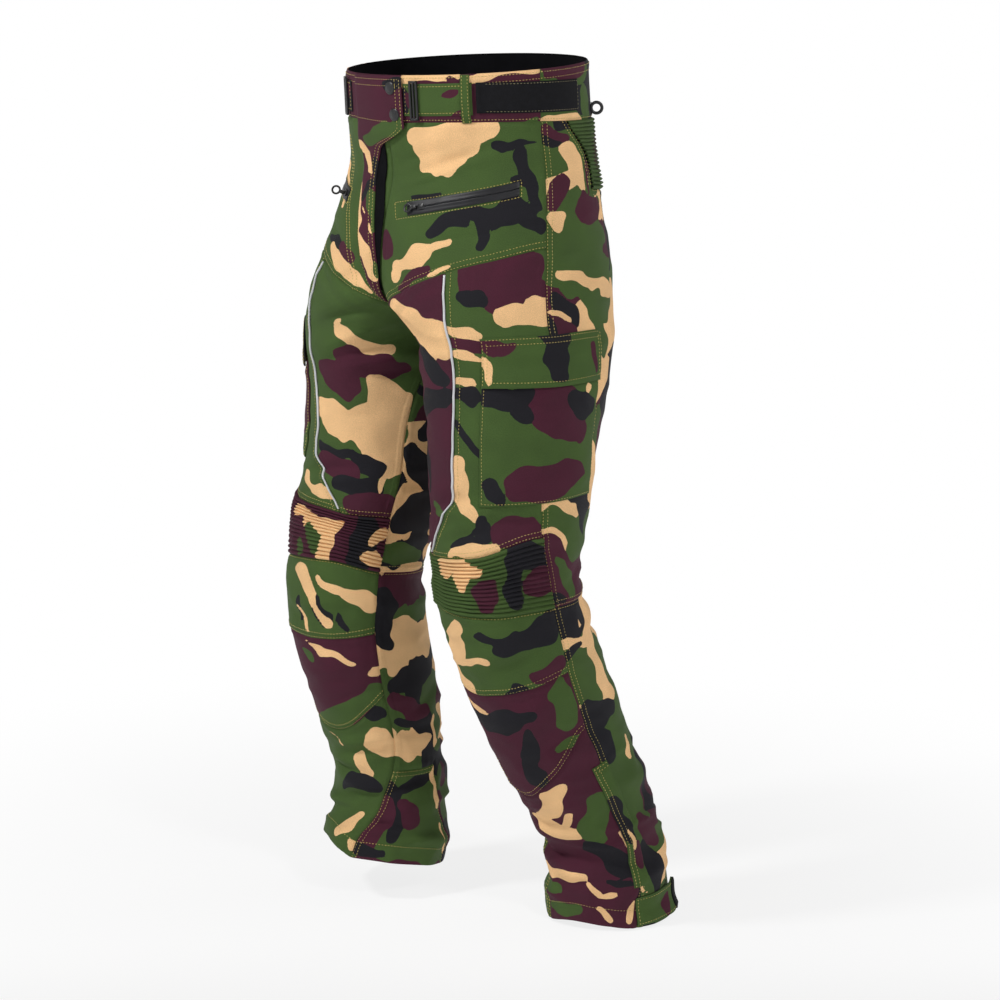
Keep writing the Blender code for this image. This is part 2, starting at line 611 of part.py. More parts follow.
def eyelet_plate(name, frame, length, ring_radius, hole_radius, neck, wall, slot, look):
    """A flat pull: a neck that starts at the origin, and a ring at its far end along X."""
    centre = length - ring_radius
    start = math.asin(neck / 2 / ring_radius)
    outline = [(-wall / 2, -neck / 2), (-wall / 2, neck / 2)]
    for t in np.linspace(math.pi - start, start - math.pi, 15):
        outline.append((centre + ring_radius * math.cos(t), ring_radius * math.sin(t)))
    hole = [
        (centre + hole_radius * math.cos(t), hole_radius * math.sin(t))
        for t in np.linspace(0, 2 * math.pi, 12, endpoint=False)
    ]
    bm = bmesh.new()
    for loop in (outline, hole):
        points = [bm.verts.new((x, y, -wall / 2)) for x, y in loop]
        for k in range(len(points)):
            bm.edges.new((points[k - 1], points[k]))
    bmesh.ops.triangle_fill(bm, edges=bm.edges[:], use_beauty=True)
    top = bmesh.ops.extrude_face_region(bm, geom=bm.faces[:])
    moved = [item for item in top["geom"] if isinstance(item, bmesh.types.BMVert)]
    bmesh.ops.translate(bm, vec=(0, 0, wall), verts=moved)
    bmesh.ops.triangulate(bm, faces=bm.faces)
    new = add_object(name, bm, slot, look)
    new.matrix_world = frame
    return new


# ---------------------------------------------------------------- the panels
def leg_panels(half):
    """The panels of one half, each between its named rows and columns."""
    side, row, column = half.side, half.row, COLUMN
    table = (
        # name, first and last row, first and last column, colour in the plain CAD view
        ("waistband_front", "waist_top", "waistband", "front_inseam", "side", CAMO_MAROON),
        ("front_yoke", "waistband", "front_yoke", "front_inseam", "side", CAMO_GREEN),
        ("thigh_inner", "front_yoke", "knee_top", "front_inseam", "piping", CAMO_MAROON),
        ("thigh_outer", "front_yoke", "knee_top", "piping", "side", CAMO_GREEN),
        ("knee_cap", "knee_foot", "cap_foot", "front_inseam", "side", CAMO_GREEN),
        ("shin", "cap_foot", "shin_foot", "front_inseam", "side", CAMO_MAROON),
        ("lower_front", "shin_foot", "hem", "front_inseam", "side", CAMO_MAROON),
        ("lower_gusset", "gusset_top", "hem", "gusset", "back_inseam", CAMO_GREEN),
    )
    for name, top, foot, start, end, look in table:
        panel(f"{name}_{side}", half, (row[top], row[foot]), (column[start], column[end]), look)
    knee = (row["knee_top"], row["knee_foot"])
    front = (column["front_inseam"], column["side"])
    ribbed_wall(f"knee_accordion_{side}", [half], knee, front, KNEE_RIBS, CAMO_TAN)
    back = (column["side"], column["back_inseam"])
    yoke_cut = ((row["waistband"], row["back_yoke"]), (column["cargo_back"], back[1]))
    panel(f"seat_and_back_thigh_{side}", half, (row["waistband"], row["knee_foot"]), back,
          CAMO_GREEN, cut=yoke_cut)
    gusset_cut = ((row["gusset_top"], row["hem"]), (column["gusset"], back[1]))
    panel(f"calf_{side}", half, (row["knee_foot"], row["hem"]), back, CAMO_TAN, cut=gusset_cut)


def back_yoke(halves):
    rows = (halves[0].row["waistband"], halves[0].row["back_yoke"])
    columns = (COLUMN["cargo_back"], COLUMN["back_inseam"])
    ribbed_wall("back_yoke", halves, rows, columns, YOKE_RIBS, CAMO_GREEN)


def waist_facing(halves):
    """The black facing that shows inside the waistband, all round."""
    v_list = np.array([0.1, 1.0, 1.9])
    grids = []
    for half in halves:
        v, u = np.meshgrid(v_list, np.arange(COLUMN["back_inseam"] + 1), indexing="ij")
        base, out = half.between(half.base, v, u), half.between(half.out, v, u)
        skin = base - out * (WALL + LIFT)
        lining = skin - out * TAPE_WALL
        grids.append((skin, lining))
    outer, inner = (
        np.concatenate([grids[0][k], grids[1][k][:, -2:0:-1]], axis=1) for k in range(2)
    )
    closed_shell("waist_facing", outer, inner, "black_lining", BLACK_CLOTH, ring=True)


# ---------------------------------------------------------------- the fly
# The fly, against the lattice row: x of the flap's stitched start and of its free edge.
FLY = (
    (0.03, -0.062, 0.0285), (1.00, -0.062, 0.0285), (1.90, -0.062, 0.0285),
    (2.25, -0.062, 0.0280), (2.60, -0.062, 0.0150), (3.00, -0.062, -0.0060),
    (3.50, -0.061, -0.0150), (4.00, -0.060, -0.0200), (5.00, -0.057, -0.0220),
    (6.00, -0.050, -0.0150), (7.00, -0.040, -0.0075), (8.00, -0.026, -0.0020),
    (8.50, -0.016, -0.0020), (8.85, -0.008, -0.0010),
)
FLAP_WALL = 0.0016
# The guard, against the lattice row: x of its edge under the flap and of the edge that shows.
GUARD = (
    (2.25, -0.032, -0.0060), (3.00, -0.032, -0.0060), (5.00, -0.032, -0.0085),
    (6.00, -0.032, 0.0000), (7.00, -0.030, 0.0000), (8.50, -0.008, 0.0000),
)
FLY_ROWS = np.concatenate([np.arange(2.5, 7.0, 0.5), np.arange(7.0, 8.6, 0.25)])
GUARD_ROWS = np.concatenate([[2.25], FLY_ROWS])
GUARD_WALL, GUARD_LIFT = 0.0008, 0.0018
OVER_GUARD = GUARD_LIFT + GUARD_WALL + 0.0006
FLAP_ROWS = np.concatenate([[0.03, 1.0, 1.9, 2.25], FLY_ROWS, [8.85]])


def front_point(halves, row, x, height):
    """A point over the front panels at a signed distance from the centre front."""
    half = halves[0] if x >= 0 else halves[1]
    columns = np.arange(COLUMN["side"] + 1)
    reach = np.abs(half.between(half.outer, row, columns)[:, 0])
    return half.raised(row, np.interp(abs(x), reach, columns), height)


def fly_guard(halves):
    """The black guard that shows between the flap and the left front."""
    shares = np.linspace(0, 1, 6)
    table_rows, starts, edges = zip(*GUARD)
    grids = []
    for height in (GUARD_LIFT + GUARD_WALL, GUARD_LIFT):
        rows = []
        for row in GUARD_ROWS:
            start, edge = np.interp(row, table_rows, starts), np.interp(row, table_rows, edges)
            xs = start + (edge - start) * shares
            rows.append([front_point(halves, row, x, height) for x in xs])
        grids.append(np.array(rows))
    closed_shell("fly_guard", *grids, "black_lining", BLACK_CLOTH)


def fly_flap(halves):
    """The right front's edge, which laps over the left from the waist to the crotch."""
    shares = np.linspace(0, 1, 8)
    lifts = [GUARD_LIFT] + [OVER_GUARD] * (len(shares) - 1)
    table_rows, starts, edges = zip(*FLY)
    outer, inner = [], []
    for row in FLAP_ROWS:
        start, edge = np.interp(row, table_rows, starts), np.interp(row, table_rows, edges)
        xs = start + (edge - start) * shares
        inner.append([front_point(halves, row, x, up) for x, up in zip(xs, lifts)])
        outer.append([front_point(halves, row, x, up + FLAP_WALL) for x, up in zip(xs, lifts)])
    closed_shell("fly_flap", np.array(outer), np.array(inner), "camo_cloth", CAMO_MAROON)


SNAP_RADIUS, SNAP_HEIGHT = 0.0066, 0.0024
SNAPS = {"snap_upper": (0.52, 0.0135), "snap_lower": (1.62, 0.0178)}  # row, and x


def snaps(halves):
    lift = OVER_GUARD + FLAP_WALL + LIFT
    for name, (row, x) in SNAPS.items():
        at = front_point(halves, row, x, lift)
        out = unit(at - front_point(halves, row, x, 0.0))
        frame = Vector(out).to_track_quat("Z", "Y").to_matrix().to_4x4()
        frame.translation = Vector(at)
        disc(name, frame, SNAP_RADIUS, SNAP_HEIGHT, "black_plastic", BLACK_PLASTIC)


# ---------------------------------------------------------------- what is sewn on
def piping(half):
    """The reflective cord down the thigh, over the seam between the thigh panels."""
    width, height = 0.0017, 0.0018
    rows = np.arange(half.row["front_yoke"], half.row["knee_top"] + 1, dtype=float)
    rows[0] += 0.2
    rows[-1] -= 0.15
    section = ((-1.0, 0.0), (-0.6, 1.0), (0.6, 1.0), (1.0, 0.0))
    rings = []
    for v in rows:
        at = half.between(half.outer, v, COLUMN["piping"])
        out = unit(half.between(half.out, v, COLUMN["piping"]))
        ahead = half.between(half.outer, v, COLUMN["piping"] + 0.5)
        across = unit(np.cross(out, np.cross(ahead - at, out)))
        rings.append([at + across * x * width + out * (LIFT + z * height) for x, z in section])
    loft(f"piping_{half.side}", rings, "reflective_piping", PIPING_GREY)


FLAP_OVERHANG = 0.008  # how far the bag's mouth lies above the flap's lower edge
BAG_WALL, BAG_SWELL = 0.0020, 0.0030
BAG_SHARES = (0, 0.1, 0.26, 0.5, 0.78, 1)  # the second lies below the flap's edge


def cargo_pocket(half):
    """The bag, and the flap that lies over its mouth."""
    side, row = half.side, half.row
    u_list = stops(COLUMN["cargo_front"], COLUMN["cargo_back"])
    mouth = [float(half.drop(row["flap_foot"], np.float64(u))) - FLAP_OVERHANG for u in u_list]
    mouth_rows = np.array([row_at(half, d, u) for d, u in zip(mouth, u_list)])
    down = np.array(BAG_SHARES)[:, None]
    v = mouth_rows * (1 - down) + row["bag_foot"] * down
    u = np.broadcast_to(u_list, v.shape)
    share = (u_list - u_list[0]) / (u_list[-1] - u_list[0])
    swell = BAG_SWELL * np.sin(math.pi * share) ** 0.5 * np.sin(math.pi * (0.25 + 0.7 * down))
    swell = np.where(down <= BAG_SHARES[1], 0.0, np.maximum(swell, 0.0))
    closed_shell(f"cargo_bag_{side}", half.raised(v, u, LIFT + BAG_WALL + swell),
                 half.raised(v, u, LIFT), "camo_cloth", CAMO_GREEN)
    over = LIFT + BAG_WALL + LIFT
    fractions = (0.0, 0.4, 0.78, 1.02)
    lifts = np.array((LIFT, 0.6 * over, over, over))[:, None]
    flap_top, flap_foot = float(row["flap_top"]), float(row["flap_foot"])
    v = np.array([[flap_top + (flap_foot - flap_top) * f] * len(u_list) for f in fractions])
    u = np.broadcast_to(u_list, v.shape)
    lifts = np.broadcast_to(lifts, v.shape)
    closed_shell(f"cargo_flap_{side}", half.raised(v, u, lifts + STRAP_WALL),
                 half.raised(v, u, lifts), "camo_cloth", CAMO_MAROON)


# Waist adjuster: drops at its edges, and degrees behind its front end. On the right side the
# fly flap takes the front of the waistband, and the adjuster starts further back.
ADJUSTER_START = {"left": 101.0, "right": 119.0}
STRAP_RUN, LOOP_RUN, HOOK_RUN = (0.0, 32.5), (27.6, 31.6), (34.5, 91.0)
BUCKLE_RUN = 6.0
STRAP_DROPS = (0.009, 0.043)
HOOK_DROPS = ((0.009, 0.015), (0.041, 0.048))
HOOK_WALL = 0.0022
LOOP_DROPS = (0.0005, 0.0515)
LOOP_SHARES = (0, 0.06, 0.13, 0.5, 0.87, 0.94, 1)  # it steps up over the strap and down again
BUCKLE_DROP, BUCKLE_SIZE, BUCKLE_EDGE = 0.0265, (0.011, 0.043, 0.0026), 0.0008
BUCKLE_GAP = 0.0003


def waist_adjuster(half):
    """Strap, ladder buckle, belt loop and hook tape at the side of the waist."""
    side, start = half.side, ADJUSTER_START[half.side]

    def corners(drops, run):
        return [(drop, start + degrees) for drop, degrees in zip(drops, run)]

    top, foot = STRAP_DROPS
    patch(f"adjuster_strap_{side}", half, corners((top, top), STRAP_RUN),
          corners((foot, foot), STRAP_RUN), STRAP_WALL, CAMO_GREEN, "camo_cloth")
    patch(f"hook_tape_{side}", half, corners(HOOK_DROPS[0], HOOK_RUN),
          corners(HOOK_DROPS[1], HOOK_RUN), HOOK_WALL, BLACK_CLOTH, "hook_tape")
    over = LIFT + STRAP_WALL + LIFT
    frame = surface_frame(half, BUCKLE_DROP, start + BUCKLE_RUN, over + BUCKLE_GAP)
    bar(f"ladder_buckle_{side}", frame, BUCKLE_SIZE, BUCKLE_EDGE, "black_plastic",
        BLACK_PLASTIC)
    lift = np.array((LIFT, LIFT, over, over, over, LIFT, LIFT))[:, None]
    top, foot = LOOP_DROPS
    patch(f"belt_loop_{side}", half, corners((top, top), LOOP_RUN),
          corners((foot, foot), LOOP_RUN), STRAP_WALL, CAMO_GREEN, "camo_cloth",
          lift=lift, shares_down=LOOP_SHARES)


CLIP_AT, CLIP_LIFT = (0.0510, 214.0), 0.0017
CLIP_LENGTH, CLIP_RING, CLIP_HOLE, CLIP_NECK, CLIP_WALL = 0.0130, 0.0078, 0.0042, 0.0136, 0.0026


def back_clip(half):
    """The plastic eye that stands out of the waistband at each end of the elastic yoke."""
    frame = surface_frame(half, *CLIP_AT, CLIP_LIFT)
    upright = frame @ Matrix.Rotation(math.radians(-90), 4, "Y")
    eyelet_plate(f"back_clip_{half.side}", upright, CLIP_LENGTH, CLIP_RING, CLIP_HOLE,
                 CLIP_NECK, CLIP_WALL, "black_plastic", BLACK_PLASTIC)


# Pocket zip: the tape's two ends as (drop, angle), and the slider with its pull. On the right
# the fly flap's stitching pushes the pocket back.
ZIP_START = {"left": (0.1480, 97.0), "right": (0.1400, 117.5)}
ZIP_END = {"left": (0.1250, 151.0), "right": (0.1220, 160.5)}
ZIP_HALF_HEIGHT = 0.0075
SLIDER_SHARE = {"left": 0.14, "right": 0.08}
SLIDER_SIZE, SLIDER_EDGE = (0.0080, 0.0070, 0.0016), 0.0005
PULL_AXIS_HEIGHT, HINGE_GAP = 0.0024, 0.0003
HIP_RADIUS = 0.14
PULL_LENGTH, PULL_RING, PULL_HOLE, PULL_NECK, PULL_WALL = 0.0165, 0.0055, 0.0032, 0.0040, 0.0016
PULL_REST = {"left": 0.0, "right": 90.0}  # lying on the pocket, and standing out


def pocket_zip(half):
    """The zip's tape, its slider, and the pull on its hinge at the slider's front end."""
    side = half.side
    start, end, share = ZIP_START[side], ZIP_END[side], SLIDER_SHARE[side]
    upper = [(drop - ZIP_HALF_HEIGHT, angle) for drop, angle in (start, end)]
    lower = [(drop + ZIP_HALF_HEIGHT, angle) for drop, angle in (start, end)]
    patch(f"zip_tape_{side}", half, upper, lower, TAPE_WALL, BLACK_CLOTH, "zip_tape",
          shares_down=(0, 1))
    drop = start[0] + (end[0] - start[0]) * share
    angle = start[1] + (end[1] - start[1]) * share
    rise, run = start[0] - end[0], HIP_RADIUS * math.radians(end[1] - start[1])
    heading = math.degrees(math.atan2(rise, run))
    frame = surface_frame(half, drop, angle, LIFT + TAPE_WALL + LIFT, heading)
    bar(f"zip_slider_{side}", frame, SLIDER_SIZE, SLIDER_EDGE, "black_plastic", BLACK_PLASTIC)
    ahead = SLIDER_SIZE[0] / 2 + PULL_WALL / 2 + HINGE_GAP
    hinge = frame @ Matrix.Translation((-ahead, 0, PULL_AXIS_HEIGHT))
    forward = hinge @ Matrix.Rotation(math.pi, 4, "Z")
    rest = forward @ Matrix.Rotation(-math.radians(PULL_REST[side]), 4, "Y")
    eyelet_plate(f"zip_pull_{side}", rest, PULL_LENGTH, PULL_RING, PULL_HOLE, PULL_NECK,
                 PULL_WALL, "black_plastic", BLACK_PLASTIC)


VENT_TOP, VENT_FOOT = 0.788, 0.962
VENT_ANGLES = (160.5, 175.5)
TAB_DROPS, TAB_END_DROPS = (0.036, 0.002), (0.035, 0.003)  # above the hem
TRIM_LIFT = 0.0008  # over the lower leg's folds
TAB_ANGLES = (162.0, 224.0)
TAB_END_ANGLES = (214.0, 225.5)


def lower_leg_trims(half):
    """The flap over the leg's zip, and the closing tab at the hem."""
    side = half.side
    hem = float(half.drop(half.row["hem"], np.float64(COLUMN["side"])))
    foot = min(VENT_FOOT, hem - TAB_DROPS[0] - 0.006)
    fold_patch(f"vent_flap_{side}", half, (VENT_TOP, foot), VENT_ANGLES, STRAP_WALL,
               CAMO_GREEN, "camo_cloth", TRIM_LIFT)
    drops = [hem - above for above in TAB_DROPS]
    fold_patch(f"hem_tab_{side}", half, drops, TAB_ANGLES, STRAP_WALL, CAMO_GREEN,
               "camo_cloth", TRIM_LIFT)
    drops = [hem - above for above in TAB_END_DROPS]
    fold_patch(f"hem_tab_end_{side}", half, drops, TAB_END_ANGLES, HOOK_WALL, BLACK_CLOTH,
               "hook_tape", TRIM_LIFT + STRAP_WALL + LIFT)


def main():
    for old in list(bpy.data.objects):
        bpy.data.objects.remove(old, do_unlink=True)
    halves = (Half("left"), Half("right"))
    for half in halves:
        leg_panels(half)
        piping(half)
        cargo_pocket(half)
        waist_adjuster(half)
        back_clip(half)
        pocket_zip(half)
        lower_leg_trims(half)
    waistband_back(halves)
    back_yoke(halves)
    waist_facing(halves)
    fly_guard(halves)
    fly_flap(halves)
    snaps(halves)


main()
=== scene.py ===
"""The looks of the motorcycle trousers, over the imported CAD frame.

The panels' shapes repeat part.py's rings and seam lattice, at a finer pitch: cloth relief,
stitching, pattern and materials are added here. Metres, +Z up; the wearer faces -Y.
"""
import json
import math

import bmesh
import bpy
import numpy as np
from mathutils import Matrix, Vector


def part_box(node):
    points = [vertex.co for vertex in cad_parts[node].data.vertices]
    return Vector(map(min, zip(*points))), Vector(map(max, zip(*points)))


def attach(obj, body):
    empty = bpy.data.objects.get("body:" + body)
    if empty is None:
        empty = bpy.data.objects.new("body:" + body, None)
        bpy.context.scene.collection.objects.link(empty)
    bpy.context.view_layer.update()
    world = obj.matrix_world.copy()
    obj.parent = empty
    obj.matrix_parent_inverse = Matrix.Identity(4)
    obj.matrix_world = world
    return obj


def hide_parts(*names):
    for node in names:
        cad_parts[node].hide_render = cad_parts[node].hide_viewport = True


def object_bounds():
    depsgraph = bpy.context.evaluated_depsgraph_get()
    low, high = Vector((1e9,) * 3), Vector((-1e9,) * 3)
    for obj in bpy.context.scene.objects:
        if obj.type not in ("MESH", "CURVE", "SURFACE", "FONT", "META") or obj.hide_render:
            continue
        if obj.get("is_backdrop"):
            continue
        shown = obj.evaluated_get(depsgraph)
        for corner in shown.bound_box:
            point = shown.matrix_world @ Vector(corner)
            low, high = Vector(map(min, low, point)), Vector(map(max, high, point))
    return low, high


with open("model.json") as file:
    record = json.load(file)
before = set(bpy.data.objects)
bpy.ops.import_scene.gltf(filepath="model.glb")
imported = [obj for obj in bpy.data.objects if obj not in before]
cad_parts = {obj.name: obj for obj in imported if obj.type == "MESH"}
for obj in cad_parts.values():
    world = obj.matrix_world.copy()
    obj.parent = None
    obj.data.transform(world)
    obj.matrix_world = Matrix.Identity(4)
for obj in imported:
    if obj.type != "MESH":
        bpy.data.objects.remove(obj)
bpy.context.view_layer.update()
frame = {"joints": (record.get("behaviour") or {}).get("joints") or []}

# ---------------------------------------------------------------- the photo's camera
AZIMUTH, ELEVATION, DISTANCE, LENS_PX = 47.0, 10.6, 3.2, 2760.0  # degrees, metres, pixels
TARGET = Vector((0.0253, 0.0271, -0.463))
PHOTO_MIDDLE = 500  # pixels from its left and top edges

# ---------------------------------------------------------------- sizes shared with part.py
LIFT = 0.0004  # of what is sewn on, over the cloth
CROTCH = 0.292  # its drop
KNEE_RIBS, YOKE_RIBS = 15, 18
RIB_HEIGHT = 0.0024
TAPE_WALL = 0.0009
STRAP_WALL = 0.0015

# A ring of the skin: its drop along the leg, its centre, and its radii to the inner, outer,
# front and back side. Pelvis rings of the two halves meet in the plane x = 0.
RING_COLUMNS = ("drop", "cx", "cy", "cz", "inner", "outer", "front", "back")
PELVIS = (
    (0.000, 0.000, 0.000, 0.037, 0.152, 0.152, 0.124, 0.120),
    (0.062, 0.000, 0.002, -0.027, 0.154, 0.154, 0.121, 0.122),
    (0.105, 0.006, 0.006, -0.070, 0.156, 0.152, 0.118, 0.122),
    (0.160, 0.022, 0.001, -0.125, 0.158, 0.146, 0.126, 0.129),
    (0.210, 0.045, -0.002, -0.175, 0.146, 0.131, 0.134, 0.132),
    (0.250, 0.066, -0.008, -0.215, 0.120, 0.118, 0.137, 0.130),
    (0.275, 0.080, -0.010, -0.240, 0.102, 0.108, 0.134, 0.123),
    (0.292, 0.090, -0.011, -0.257, 0.0901, 0.103, 0.130, 0.119),
)
LEGS = {
    "left": (
        (0.330, 0.098, -0.015, -0.295, 0.091, 0.098, 0.120, 0.110),
        (0.400, 0.104, -0.024, -0.364, 0.090, 0.094, 0.108, 0.098),
        (0.470, 0.109, -0.033, -0.433, 0.086, 0.090, 0.098, 0.086),
        (0.535, 0.112, -0.039, -0.498, 0.080, 0.084, 0.091, 0.077),
        (0.580, 0.113, -0.036, -0.543, 0.076, 0.081, 0.089, 0.073),
        (0.640, 0.115, -0.021, -0.601, 0.074, 0.080, 0.086, 0.080),
        (0.710, 0.118, 0.004, -0.667, 0.073, 0.077, 0.082, 0.082),
        (0.780, 0.122, 0.034, -0.730, 0.070, 0.073, 0.078, 0.078),
        (0.850, 0.126, 0.066, -0.792, 0.066, 0.069, 0.070, 0.072),
        (0.910, 0.129, 0.090, -0.847, 0.062, 0.066, 0.064, 0.068),
        (0.960, 0.131, 0.101, -0.896, 0.066, 0.070, 0.074, 0.070),
        (1.015, 0.132, 0.105, -0.951, 0.066, 0.072, 0.076, 0.072),
    ),
    "right": (
        (0.330, 0.098, -0.010, -0.295, 0.091, 0.098, 0.122, 0.112),
        (0.400, 0.104, -0.016, -0.364, 0.090, 0.094, 0.110, 0.100),
        (0.470, 0.110, -0.030, -0.432, 0.086, 0.090, 0.098, 0.088),
        (0.535, 0.116, -0.050, -0.494, 0.080, 0.086, 0.090, 0.078),
        (0.580, 0.120, -0.062, -0.538, 0.076, 0.082, 0.086, 0.074),
        (0.640, 0.121, -0.062, -0.598, 0.074, 0.080, 0.086, 0.077),
        (0.710, 0.122, -0.050, -0.666, 0.073, 0.077, 0.078, 0.078),
        (0.780, 0.122, -0.034, -0.732, 0.070, 0.073, 0.068, 0.075),
        (0.850, 0.122, -0.022, -0.797, 0.064, 0.069, 0.062, 0.070),
        (0.910, 0.122, -0.020, -0.850, 0.064, 0.066, 0.064, 0.072),
        (0.960, 0.122, -0.025, -0.886, 0.066, 0.070, 0.078, 0.078),
        (1.015, 0.122, -0.034, -0.918, 0.066, 0.072, 0.074, 0.078),
    ),
}
# Below this drop the rings turn, over a run, to lie square to the leg.
LEAN_START, LEAN_RUN = 0.26, 0.10
# Degrees by which the rings near the waist tip down to the front, against their drop.
WAIST_TILT = ((0.0, 4.6), (0.062, 4.2), (0.16, 2.0), (0.25, 0.0), (0.30, 0.0))

# The lattice's columns: its named lines, and their angles round the ring in degrees against
# the drop (0 inner side, 90 front, 180 outer side, 270 back). A row of ANGLES is the drop,
# and the angles of the columns between the inseams.
COLUMN = {
    "front_inseam": 0,
    "piping": 4,
    "cargo_front": 6,
    "side": 9,
    "cargo_back": 12,
    "back": 16,
    "gusset": 19,
    "back_inseam": 23,
}
ANGLES = (
    (0.000, 113, 137, 167, 181, 215, 245),
    (0.056, 113, 137, 166, 182, 215, 245),
    (0.100, 114, 136, 165, 196, 222, 247),
    (0.140, 115, 134, 165, 199, 224, 248),
    (0.200, 115, 132, 164, 199, 232, 262),
    (0.250, 112, 128, 163, 198, 244, 288),
    (0.292, 107, 125, 163, 197, 256, 312),
    (0.350, 102, 121, 161, 199, 264, 326),
    (0.430, 98, 118, 160, 203, 268, 334),
    (0.480, 94, 117, 160, 207, 270, 336),
    (0.510, 80, 116, 162, 210, 272, 337),
    (0.536, 63, 114, 166, 212, 274, 338),
    (0.590, 65, 113, 171, 216, 276, 339),
    (0.670, 80, 122, 171, 218, 278, 342),
    (0.800, 90, 128, 170, 218, 278, 342),
    (0.890, 96, 132, 170, 218, 274, 342),
    (0.950, 104, 136, 166, 214, 264, 328),
    (1.020, 110, 138, 161, 208, 254, 312),
)
INSEAM_ANGLE = (
    (0.292, 0), (0.340, 18), (0.390, 27), (0.500, 25), (0.586, 21),
    (0.672, 26), (0.722, 28), (0.830, 33), (0.882, 48), (0.942, 60), (1.020, 71),
)

# The lattice's named rows: the row's number, and its drop on each named column.
UPPER_SEAMS = {
    "waist_top": (0, 0.000, 0.000, 0.000, 0.000, 0.000, 0.000, 0.000, 0.000),
    "waistband": (2, 0.052, 0.050, 0.051, 0.054, 0.057, 0.062, 0.064, 0.066),
    "back_yoke": (5, 0.120, 0.118, 0.118, 0.122, 0.134, 0.140, 0.143, 0.144),
    "front_yoke": (9, 0.262, 0.217, 0.206, 0.192, 0.196, 0.215, 0.228, 0.240),
    "rise": (10, 0.280, 0.230, 0.220, 0.207, 0.211, 0.232, 0.252, 0.270),
    "low_rise": (11, 0.289, 0.243, 0.234, 0.222, 0.226, 0.248, 0.268, 0.286),
    "crotch": (12, 0.292, 0.257, 0.249, 0.240, 0.244, 0.264, 0.280, 0.292),
    "flap_top": (14, 0.330, 0.296, 0.288, 0.285, 0.284, 0.300, 0.318, 0.330),
    "flap_foot": (16, 0.388, 0.358, 0.351, 0.343, 0.334, 0.352, 0.372, 0.388),
    "bag_foot": (20, 0.486, 0.484, 0.482, 0.473, 0.462, 0.474, 0.483, 0.486),
    "knee_top": (22, 0.532, 0.537, 0.531, 0.510, 0.520, 0.530, 0.532, 0.532),
    "knee_foot": (25, 0.588, 0.581, 0.583, 0.586, 0.594, 0.591, 0.589, 0.588),
}
LOWER_SEAMS = {
    "left": {
        "cap_foot": (28, 0.676, 0.670, 0.667, 0.664, 0.666, 0.670, 0.674, 0.676),
        "shin_foot": (31, 0.745, 0.806, 0.780, 0.738, 0.744, 0.750, 0.748, 0.745),
        "gusset_top": (33, 0.836, 0.846, 0.836, 0.826, 0.830, 0.838, 0.844, 0.836),
        "hem": (43, 1.010, 1.003, 1.008, 1.013, 1.014, 1.014, 1.013, 1.010),
    },
    "right": {
        "cap_foot": (28, 0.654, 0.654, 0.653, 0.652, 0.653, 0.654, 0.655, 0.654),
        "shin_foot": (31, 0.730, 0.776, 0.764, 0.735, 0.738, 0.740, 0.735, 0.730),
        "gusset_top": (33, 0.838, 0.832, 0.826, 0.824, 0.828, 0.838, 0.846, 0.838),
        "hem": (43, 1.012, 0.984, 0.976, 0.974, 0.976, 0.982, 0.996, 1.012),
    },
}

# The largest folds, raised outwards: the drop and angle where they lie, how far round they
# run (degrees), how much they drop on each degree (millimetres), and their half width and
# height (millimetres).
FOLDS = {
    "left": (
        (0.500, 75, 30, -0.35, 11, 3.0),
        (0.524, 120, 34, -0.20, 9, 2.5),
        (0.590, 270, 44, 0.10, 10, 3.5),
        (0.628, 262, 36, -0.15, 11, 3.0),
        (0.842, 205, 34, 0.50, 11, 3.0),
        (0.870, 80, 46, -0.10, 11, 4.5),
        (0.896, 150, 34, 0.35, 10, 4.0),
        (0.905, 285, 44, 0.12, 12, 4.5),
        (0.922, 62, 44, 0.20, 11, 4.0),
        (0.940, 215, 36, -0.25, 11, 4.0),
        (0.958, 120, 40, -0.12, 10, 3.0),
        (0.964, 330, 40, -0.10, 11, 3.5),
    ),
    "right": (
        (0.505, 82, 32, 0.30, 11, 3.0),
        (0.520, 40, 24, -0.25, 10, 2.5),
        (0.592, 266, 44, -0.10, 10, 3.5),
        (0.630, 280, 36, 0.15, 11, 3.0),
        (0.826, 110, 40, 0.15, 11, 3.5),
        (0.850, 215, 40, -0.25, 11, 3.5),
        (0.862, 62, 38, -0.30, 11, 4.0),
        (0.884, 300, 44, 0.15, 12, 4.0),
        (0.898, 128, 46, 0.10, 11, 5.0),
        (0.922, 70, 40, 0.25, 10, 3.5),
        (0.932, 205, 36, 0.20, 11, 4.0),
        (0.952, 340, 40, -0.12, 11, 3.5),
    ),
}


def hermite(xs, ys, x):
    """A smooth curve through a table's points."""
    xs, ys = np.asarray(xs, float), np.asarray(ys, float)
    gap = np.diff(xs)
    secant = np.diff(ys) / gap
    slope = np.empty_like(ys)
    slope[1:-1] = (secant[:-1] * gap[1:] + secant[1:] * gap[:-1]) / (xs[2:] - xs[:-2])
    slope[0], slope[-1] = secant[0], secant[-1]
    x = np.clip(x, xs[0], xs[-1])
    k = np.clip(np.searchsorted(xs, x) - 1, 0, len(xs) - 2)
    step = xs[k + 1] - xs[k]
    t = (x - xs[k]) / step
    ends = ys[k] * (1 + 2 * t) * (1 - t) ** 2 + ys[k + 1] * t * t * (3 - 2 * t)
    return ends + step * (slope[k] * t * (1 - t) ** 2 - slope[k + 1] * t * t * (1 - t))


def smooth(x):
    x = np.clip(x, 0, 1)
    return x * x * (3 - 2 * x)


def unit(vectors):
    return vectors / np.linalg.norm(vectors, axis=-1, keepdims=True)


def lengths_along(points):
    """A path's length up to each of its points."""
    steps = np.linalg.norm(np.diff(points, axis=0), axis=1)
    return np.concatenate([[0], np.cumsum(steps)])


